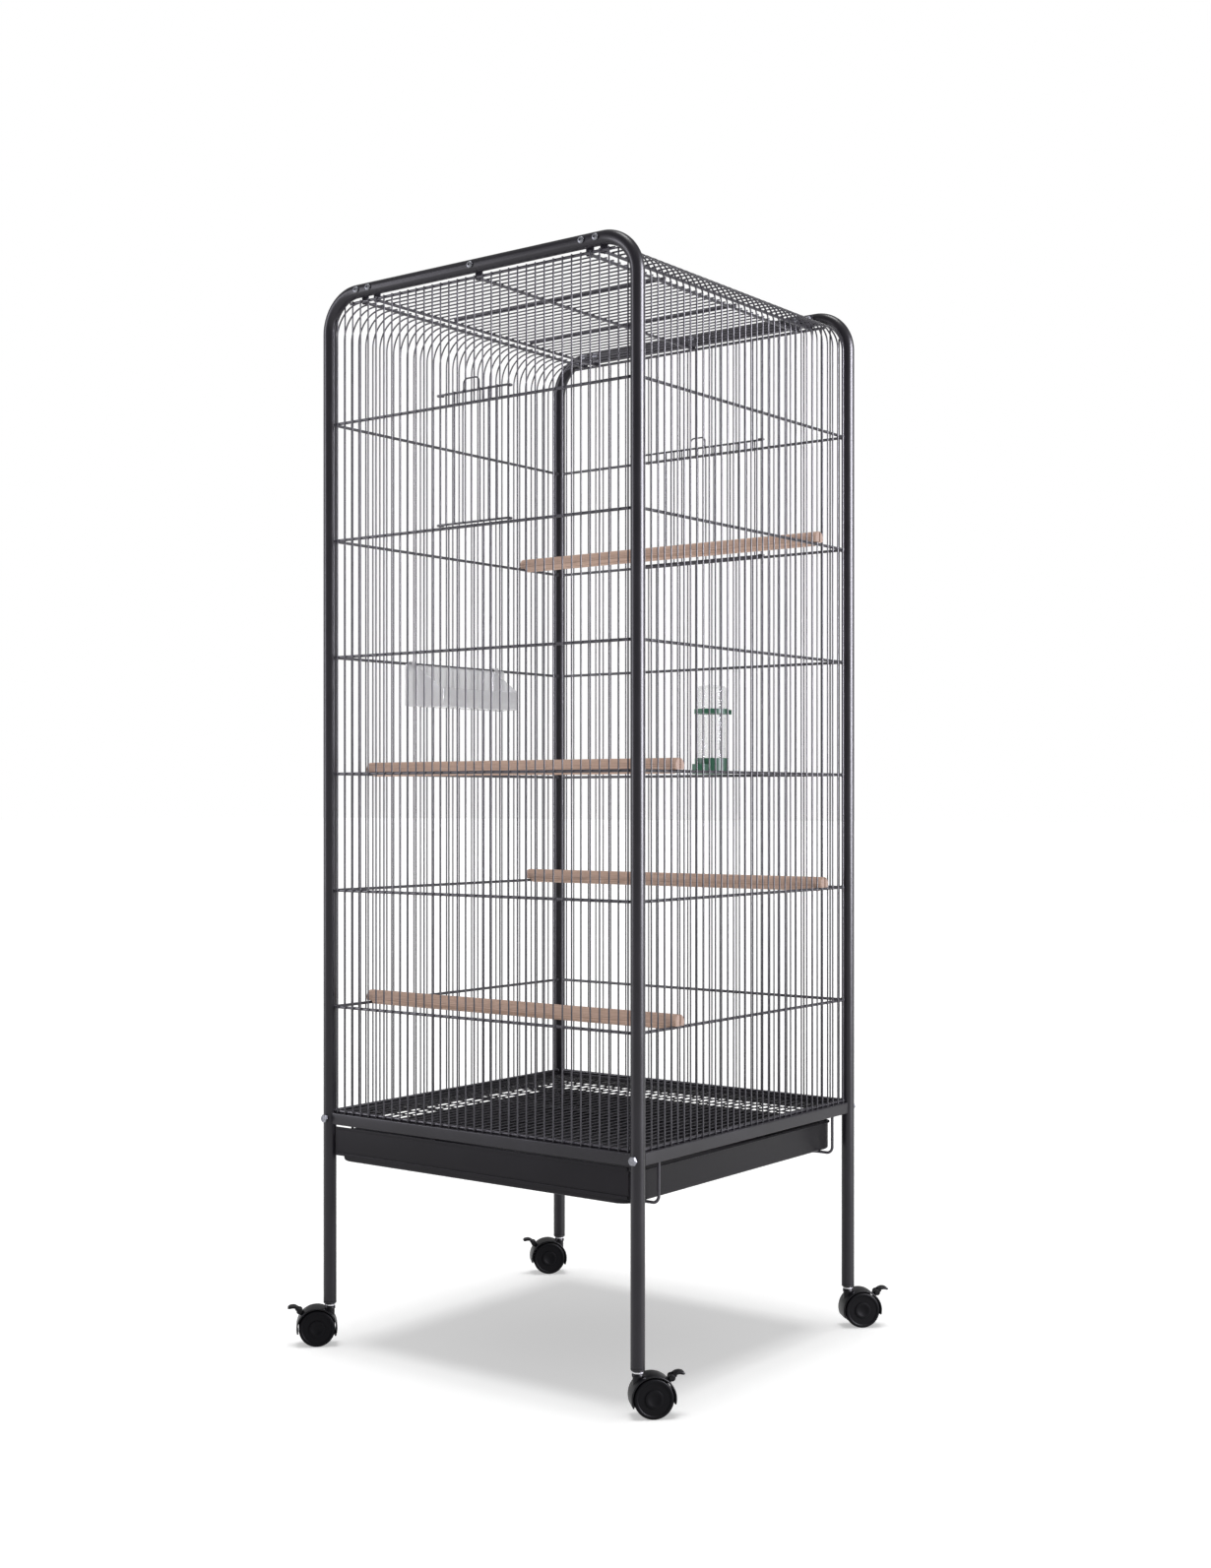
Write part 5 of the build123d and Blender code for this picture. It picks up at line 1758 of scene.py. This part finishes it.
# ---- drinker
@dataclass
class Drinker:
    """Clear tube in a green cup with a spout, held to the rear panel by a green ring."""

    finishes: Finishes
    tube_wall: float = 0.0015
    dome: float = 0.008
    groove: float = 0.0003
    groove_half: float = 0.0009
    groove_floor_half: float = 0.0004
    groove_count: int = 4
    groove_spacing: float = 0.022
    first_groove: float = 0.034
    tip: float = 0.0005
    sides: int = 72

    def build(self) -> None:
        """Make the tube and dress the cup and the ring."""
        low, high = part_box("drinker_tube")
        self.tube((low.x + high.x) / 2, (low.y + high.y) / 2, (high.x - low.x) / 2, low.z, high.z)
        for node in ("drinker_cup", "drinker_holder"):
            dress_node(node, self.finishes.green)

    def tube(self, x: float, y: float, radius: float, low: float, high: float) -> None:
        """The tube: outer wall with its ring grooves, dome, and the inner wall back down.

        Args:
            x: X of its axis.
            y: Y of its axis.
            radius: its outer radius.
            low: height of its open end.
            high: height of its top.
        """
        wall, dome = self.tube_wall, self.dome
        length = high - low
        arc = np.linspace(0, math.pi / 2, 9)
        outer = [(radius - dome + dome * math.cos(a), length - dome + dome * math.sin(a)) for a in arc]
        small = dome - wall
        inner = [(radius - dome + small * math.cos(a), length - dome + small * math.sin(a))
                 for a in arc[::-1]]
        marks = []
        for height in self.first_groove + np.arange(self.groove_count) * self.groove_spacing:
            marks += [(radius, height - self.groove_half),
                      (radius - self.groove, height - self.groove_floor_half),
                      (radius - self.groove, height + self.groove_floor_half),
                      (radius, height + self.groove_half)]
        rows = [(radius - wall, 0.0), (radius - 0.0003, 0.0), (radius, 0.0004)] + marks
        rows += outer + [(self.tip, length), (self.tip, length - wall)] + inner
        skin = Skin()
        skin.lathe(rows, (x, y, low), (0, 0, 1), self.sides)
        skin.build("drinker_tube_clear", self.finishes.tube, "drinker", "clear_plastic", ["drinker_tube"])


def dress_node(node: str, finish: bpy.types.Material) -> None:
    """Give a CAD node a finish in place of its plain one.

    Args:
        node: the node's name.
        finish: its new material.
    """
    shown = frame["nodes"][node]
    shown.data.materials.clear()
    shown.data.materials.append(finish)
    LOG.info("%s: dressed with %s", node, finish.name)


# ---- casters
@dataclass
class Caster:
    """One twin-wheel swivel caster with its plug, stem, hood and brake lever."""

    finishes: Finishes
    corner: Corner
    shield_gap: float = 0.0012
    shield_wall: float = 0.002
    shield_start: float = -14
    shield_end: float = 202
    shield_corner: float = 0.0009
    seam_half: float = 0.0016
    seam_corner: float = 0.0004
    web_half: float = 0.0065
    web_radius: float = 0.021
    web_edge: float = 0.001
    spine_low: float = 0.016
    spine_overlap: float = 0.0006
    socket_low: float = 0.013
    socket_edge: float = 0.0006
    ear_radius: float = 0.0034
    ear_half: float = 0.0035
    ear_corner: float = 0.0008
    wheel_gap: float = 0.0007
    wheel_width: float = 0.008
    tread_radius: float = 0.0025
    tread_groove: float = 0.00025
    axle_radius: float = 0.0025
    axle_reach: float = 0.0055
    axle_edge: float = 0.0003
    lever_reach: float = 0.014
    lever_rise: float = 0.005
    lever_bulge: float = 0.003
    lever_half_thickness: float = 0.0018
    lever_half: float = 0.007
    lever_corner: float = 0.0014
    lever_rounded: float = 0.92
    lever_tip: float = 1.12
    lever_stretch: float = 0.205
    cheek_radius: float = 0.0042
    cheek_inside: float = 0.0039
    cheek_edge: float = 0.0004
    cheek_round: float = 0.0007
    neck_reach: float = 0.0065
    neck_corner: float = 0.0006
    pin_radius: float = 0.0015
    pin_short: float = 0.0003
    stem_radius: float = 0.004
    collar_radius: float = 0.007
    collar_gap: float = 0.0004
    collar_height: float = 0.0027
    stem_edge: float = 0.0006

    def __post_init__(self) -> None:
        """Read the caster's places from the frame: its stem's axis, its axle and its trail."""
        label = self.corner.label
        joints = {joint["name"]: joint for joint in frame["joints"]}
        roll = joints[f"roll_a_{label}"]
        low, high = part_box(f"stem_{label}")
        self.origin = np.array([(low.x + high.x) / 2, (low.y + high.y) / 2, 0.0])
        axle = np.array(roll["pos_m"], float)
        self.wheel_radius = float(axle[2])
        trail = axle - self.origin
        trail[2] = 0.0
        self.trail = float(np.linalg.norm(trail))
        ahead = trail / self.trail
        aside = np.array([-ahead[1], ahead[0], 0.0])
        self.axes = np.stack([ahead, aside, np.array([0.0, 0.0, 1.0])])
        press = np.array(joints[f"brake_press_{label}"]["pos_m"], float) - self.origin
        self.pivot_x, self.pivot_z = float(press @ ahead), float(press[2])

    def build(self) -> None:
        """Make every piece of the caster."""
        for letter in ("b", "a"):
            self.wheel(letter)
        self.hood()
        self.brake()
        self.stem()
        dress_node(f"plug_{self.corner.label}", self.finishes.plug)
        self.axle()

    def side_of(self, node: str) -> int:
        """Which side of the hood a wheel is on.

        Args:
            node: the wheel's node.

        Returns:
            1 or -1, along the local Y axis.
        """
        low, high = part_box(node)
        middle = np.array([(low.x + high.x) / 2, (low.y + high.y) / 2, 0.0])
        return 1 if (middle - self.origin) @ self.axes[1] > 0 else -1

    def wheel(self, letter: str) -> None:
        """A wheel: rounded and grooved tread, stepped outer face and a hub cap.

        Args:
            letter: which wheel.
        """
        label = self.corner.label
        node = f"caster_wheel_{letter}_{label}"
        sign = self.side_of(node)
        radius, edge, width = self.wheel_radius, self.tread_radius, self.wheel_width
        inner = self.web_half + self.wheel_gap
        arc = np.linspace(0, math.pi / 2, 6)
        outer_edge = [(radius - edge + edge * math.cos(a), width - edge + edge * math.sin(a)) for a in arc]
        inner_edge = [(radius - edge + edge * math.sin(a), edge - edge * math.cos(a)) for a in arc]
        profile = [(0.0, 0.0), (radius * 0.5, 0.0)] + inner_edge
        profile += [(radius, width * 0.46), (radius - self.tread_groove, width * 0.5),
                    (radius, width * 0.54)]
        profile += outer_edge
        profile += [(radius * 0.84, width), (radius * 0.82, width - 0.0003), (radius * 0.8, width - 0.0009),
                    (radius * 0.46, width - 0.0012), (radius * 0.44, width - 0.0002), (radius * 0.4, width),
                    (radius * 0.3, width), (radius * 0.27, width - 0.0005), (0.0, width - 0.0005)]
        skin = Skin()
        skin.lathe(profile, (self.trail, sign * inner, radius), (0, sign, 0), 96)
        skin.placed(self.origin, self.axes).build(f"wheel_{letter}_{label}_moulded", self.finishes.wheel,
                                                  f"wheel_{letter}_{label}", "wheel_plastic", [node])

    def arc_band(self, skin: Skin, inner: float, outer: float, half: float, start: float, end: float,
                 round_edge: float, steps: int = 56) -> None:
        """A band bent about the axle: a rounded rectangle carried round an arc.

        Args:
            skin: where to add it.
            inner: inner radius.
            outer: outer radius.
            half: half its width along the axle.
            start: first angle in degrees, from the trail upwards.
            end: last angle in degrees.
            round_edge: radius of the section's corners.
            steps: pieces round the arc.
        """
        section = rounded_rectangle((outer - inner) / 2, half, round_edge, 4)
        section = section + np.array([(outer + inner) / 2, 0.0])
        angles = np.radians(np.linspace(start, end, steps + 1))
        along = np.stack([np.cos(angles), np.zeros_like(angles), np.sin(angles)], axis=1)
        centre = np.array([self.trail, 0.0, self.wheel_radius])
        aside = np.array([0.0, 1.0, 0.0])
        rings = centre + section[None, :, :1] * along[:, None] + section[None, :, 1:] * aside
        middle = (outer + inner) / 2
        skin.stack(rings, first=centre + along[0] * middle, last=centre + along[-1] * middle)

    def hood(self) -> None:
        """Hood: round shield over both wheels, the web between them, the stem socket and the brake's ear."""
        label = self.corner.label
        radius, trail = self.wheel_radius, self.trail
        inner = radius + self.shield_gap
        outer = inner + self.shield_wall
        half = self.web_half + self.wheel_gap + self.wheel_width
        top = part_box(f"caster_hood_{label}")[1].z
        skin = Skin()
        self.arc_band(skin, inner, outer, half, self.shield_start, self.shield_end, self.shield_corner)
        self.arc_band(skin, inner - 0.0004, outer - 0.0002, self.seam_half, self.shield_start + 1,
                      self.shield_end - 1, self.seam_corner)
        self.drum(skin, (trail, 0, radius), self.web_radius, self.web_half, self.web_edge, 64)
        socket, low, edge = self.web_half, self.socket_low, self.socket_edge
        skin.lathe([(0.0, low), (socket - edge, low), (socket, low + edge), (socket, top - 0.004),
                    (socket + 0.0009, top - 0.0034), (socket + 0.0009, top - 0.0008), (socket + 0.0003, top),
                    (0.0045, top), (0.0042, top - 0.001), (0.0, top - 0.001)], (0, 0, 0), (0, 0, 1), 48)
        skin.box((0.0, -self.web_half, self.spine_low),
                 (trail, self.web_half, radius + inner + self.spine_overlap), "Z", self.web_edge)
        self.ear(skin, inner)
        skin = skin.placed(self.origin, self.axes)
        skin.build(f"hood_{label}_moulded", self.finishes.hood, f"caster_{label}", "caster_plastic",
                   [f"caster_hood_{label}"])

    def drum(self, skin: Skin, place: Point, radius: float, half: float, edge: float, sides: int) -> None:
        """A chamfered disc or pin, turned about a line along the axle.

        Args:
            skin: where to add it.
            place: its middle.
            radius: its radius.
            half: half its length.
            edge: size of the chamfers.
            sides: points in each ring.
        """
        skin.lathe([(0.0, -half), (radius - edge, -half), (radius, -half + edge), (radius, half - edge),
                    (radius - edge, half), (0.0, half)], place, (0, 1, 0), sides)

    def ear(self, skin: Skin, start: float) -> None:
        """The hood's ear: an arm outwards from the shield, and the round eye that the lever turns on.

        Args:
            skin: where to add it.
            start: distance from the axle at which the arm starts.
        """
        over, beyond = self.pivot_z - self.wheel_radius, self.pivot_x - self.trail
        angle, reach = math.atan2(over, beyond), math.hypot(over, beyond)
        radius, half = self.ear_radius, self.ear_half
        arm = Skin()
        arm.box((start, -radius, -half), (reach, radius, half), "X", self.ear_corner)
        axes = np.array([[math.cos(angle), 0.0, math.sin(angle)], [-math.sin(angle), 0.0, math.cos(angle)],
                         [0.0, 1.0, 0.0]])
        skin.merge(arm.placed(np.array([self.trail, 0.0, self.wheel_radius]), axes))
        self.drum(skin, (self.pivot_x, 0, self.pivot_z), radius, half, 0.0004, 32)

    def axle(self) -> None:
        """Axle, chamfered, whose ends stop inside the wheels' hub caps."""
        label = self.corner.label
        skin = Skin()
        self.drum(skin, (self.trail, 0, self.wheel_radius), self.axle_radius,
                  self.web_half + self.wheel_gap + self.axle_reach, self.axle_edge, 24)
        skin = skin.placed(self.origin, self.axes)
        skin.build(f"axle_{label}_turned", self.finishes.stem, f"caster_{label}", "stem_steel",
                   [f"caster_axle_{label}"])

    def brake(self) -> None:
        """Brake lever: a pad on an arc from the pivot, two cheeks astride the hood's ear, and its pin.

        The pad's section is a rounded rectangle carried along the arc through the pivot, the raised middle
        and the tip. Its half thickness and half width shrink at the tip as the root of one less the square
        of the share of the last stretch, which rounds it over.
        """
        label = self.corner.label
        pivot = np.array([self.pivot_x, 0.0, self.pivot_z])
        thick, half = self.lever_half_thickness, self.lever_half
        tip = np.array([self.lever_reach, 0.0, self.lever_rise])
        chord = unit(tip)
        share = np.concatenate([np.linspace(0.3, 0.9, 16),
                                np.linspace(self.lever_rounded, self.lever_tip, 8)])
        lift = 4 * share * (1 - share) * self.lever_bulge
        square = np.array([-chord[2], 0.0, chord[0]])
        line = pivot + share[:, None] * tip + lift[:, None] * square
        along = unit(np.gradient(line, axis=0))
        up = np.stack([-along[:, 2], np.zeros(len(line)), along[:, 0]], axis=1)
        over = np.clip((share - self.lever_rounded) / self.lever_stretch, 0, 1)
        shrink = np.sqrt(1 - over**2)
        section = rounded_rectangle(thick, half, self.lever_corner, 4)
        wide = np.abs(section[:, 1])[None]
        sides = np.sign(section[:, 1]) * np.maximum(wide - thick * (1 - shrink[:, None]), 0)
        aside = np.array([0.0, 1.0, 0.0])
        rings = (line[:, None] + up[:, None] * section[None, :, :1] * shrink[:, None, None]
                 + sides[:, :, None] * aside)
        skin = Skin()
        skin.stack(rings, first=line[0], last=line[-1])
        cheek, inside, edge, rounded = self.cheek_radius, self.cheek_inside, self.cheek_edge, self.cheek_round
        for sign in (-1, 1):
            skin.lathe([(0.0, sign * inside), (cheek - edge, sign * inside), (cheek, sign * (inside + edge)),
                        (cheek, sign * (half - rounded)), (cheek - rounded, sign * half),
                        (0.0, sign * half)], tuple(pivot), (0, 1, 0), 32)
            low, high = sorted((sign * (inside + 0.0002), sign * (half - 0.0002)))
            neck = Skin()
            neck.box((0.0, -thick, low), (self.neck_reach, thick * 1.6, high), "X", self.neck_corner)
            skin.merge(neck.placed(pivot, np.stack([along[0], up[0], aside])))
        pin, end = self.pin_radius, half - self.pin_short
        skin.lathe([(0.0, -end), (pin, -end), (pin, end), (0.0, end)], tuple(pivot), (0, 1, 0), 24)
        skin = skin.placed(self.origin, self.axes)
        skin.build(f"brake_{label}_lever", self.finishes.hood, f"brake_{label}", "caster_plastic",
                   [f"caster_brake_{label}"])

    def stem(self) -> None:
        """Stem with its collar, both with turned chamfers."""
        label = self.corner.label
        low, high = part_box(f"stem_{label}")
        hood_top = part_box(f"caster_hood_{label}")[1].z
        collar_low = hood_top + self.collar_gap
        collar_top = collar_low + self.collar_height
        radius, collar, edge = self.stem_radius, self.collar_radius, self.stem_edge
        profile = [(0.0, low.z), (radius - edge, low.z), (radius, low.z + edge), (radius, collar_low),
                   (collar - edge, collar_low), (collar, collar_low + edge), (collar, collar_top - edge),
                   (collar - edge, collar_top), (radius, collar_top), (radius, high.z - edge),
                   (radius - edge, high.z), (0.0, high.z)]
        skin = Skin()
        skin.lathe(profile, tuple(self.origin), (0, 0, 1), 40)
        skin.build(f"stem_{label}_turned", self.finishes.stem, "cage", "stem_steel", [f"stem_{label}"])


# ---- stage
@dataclass
class Studio:
    """Pale floor, soft light and the camera."""

    floor_reach: float = 60.0
    floor_shade: float = 0.8
    floor_glow: float = 0.42
    sky_light: float = 0.36
    sun_power: float = 1.9
    sun_spread: float = 24
    panel_colour: Colour = (0.92, 0.9, 1.0)
    panel_aim: Point = (0.0, 0.0, 0.8)
    clip_start: float = 0.05
    clip_end: float = 500.0
    camera_place: Point = (1.63018, -2.19984, 0.7536)
    azimuth: float = 37.75
    lens: float = 44.54
    shift_x: float = 0.0339
    shift_y: float = 0.0106

    def build(self) -> None:
        """Set the stage."""
        self.floor()
        self.sky()
        self.lights()
        self.camera()

    def floor(self) -> None:
        """A wide pale floor."""
        shade = (self.floor_shade,) * 3
        graph = Graph("studio_floor", shade)
        graph.dress(Base_Color=shade, Roughness=0.9, Specular_IOR_Level=0.0,
                    Emission_Color=(1.0, 1.0, 1.0), Emission_Strength=self.floor_glow)
        mesh = bpy.data.meshes.new("floor")
        reach = self.floor_reach
        mesh.from_pydata([(-reach, -reach, 0), (reach, -reach, 0), (reach, reach, 0), (-reach, reach, 0)],
                         [], [(0, 1, 2, 3)])
        mesh.materials.append(graph.material)
        plane = bpy.data.objects.new("floor", mesh)
        bpy.context.scene.collection.objects.link(plane)

    def sky(self) -> None:
        """A white surround to look at and a softer one to be lit by."""
        world = bpy.data.worlds.new("studio")
        bpy.context.scene.world = world
        world.use_nodes = True
        tree = world.node_tree
        back = tree.nodes["Background"]
        seen = tree.nodes.new("ShaderNodeLightPath")
        level = tree.nodes.new("ShaderNodeMapRange")
        tree.links.new(seen.outputs["Is Camera Ray"], level.inputs["Value"])
        level.inputs["To Min"].default_value = self.sky_light
        level.inputs["To Max"].default_value = 1.0
        tree.links.new(level.outputs["Result"], back.inputs["Strength"])
        back.inputs["Color"].default_value = (1.0, 1.0, 1.0, 1.0)

    def lights(self) -> None:
        """A wide light overhead for the floor's soft shadow, and two tall side panels for the edges."""
        above = bpy.data.lights.new("overhead", "SUN")
        above.energy, above.angle = self.sun_power, math.radians(self.sun_spread)
        lamp = bpy.data.objects.new("overhead", above)
        bpy.context.scene.collection.objects.link(lamp)
        for name, place, power, size in (("left_panel_light", (-2.3, -1.9, 1.4), 60.0, (0.7, 2.2)),
                                         ("right_panel_light", (2.6, 0.7, 1.5), 420.0, (1.2, 2.0))):
            data = bpy.data.lights.new(name, "AREA")
            data.shape, data.size, data.size_y, data.energy = "RECTANGLE", size[0], size[1], power
            data.color = self.panel_colour
            lamp = bpy.data.objects.new(name, data)
            lamp.visible_diffuse = False
            lamp.location = place
            aim = np.array(self.panel_aim) - np.array(place)
            lamp.rotation_euler = (math.atan2(math.hypot(aim[0], aim[1]), -aim[2]), 0,
                                   math.atan2(aim[1], aim[0]) - math.pi / 2)
            bpy.context.scene.collection.objects.link(lamp)

    def camera(self) -> None:
        """The camera, level and turned about the vertical."""
        data = bpy.data.cameras.new("camera")
        data.lens, data.shift_x, data.shift_y = self.lens, self.shift_x, self.shift_y
        data.clip_start, data.clip_end = self.clip_start, self.clip_end
        camera = bpy.data.objects.new("camera", data)
        camera.location = self.camera_place
        camera.rotation_euler = (math.pi / 2, 0, math.radians(self.azimuth))
        bpy.context.scene.collection.objects.link(camera)
        bpy.context.scene.camera = camera
        bpy.context.scene.view_settings.view_transform = "Standard"


def main() -> None:
    """Build the stage and every sub-assembly of the cage."""
    logging.basicConfig(level=logging.INFO, format="%(name)s: %(message)s")
    Studio().build()
    layout = Layout()
    finishes = Finishes()
    StandFrame(layout, finishes).build()
    work = WireWork(layout, finishes)
    work.build()
    SlidingDoor(layout, finishes, Side.LOW, work.front_door_half_spaces).build()
    SlidingDoor(layout, finishes, Side.HIGH, work.rear_door_half_spaces).build()
    Tray(layout, finishes).build()
    for number in range(1, PERCH_COUNT + 1):
        Perch(layout, number).build()
    Feeder(layout, finishes).build()
    Drinker(finishes).build()
    for corner in Corner:
        Caster(finishes, corner).build()


if __name__ == "__main__":
    main()
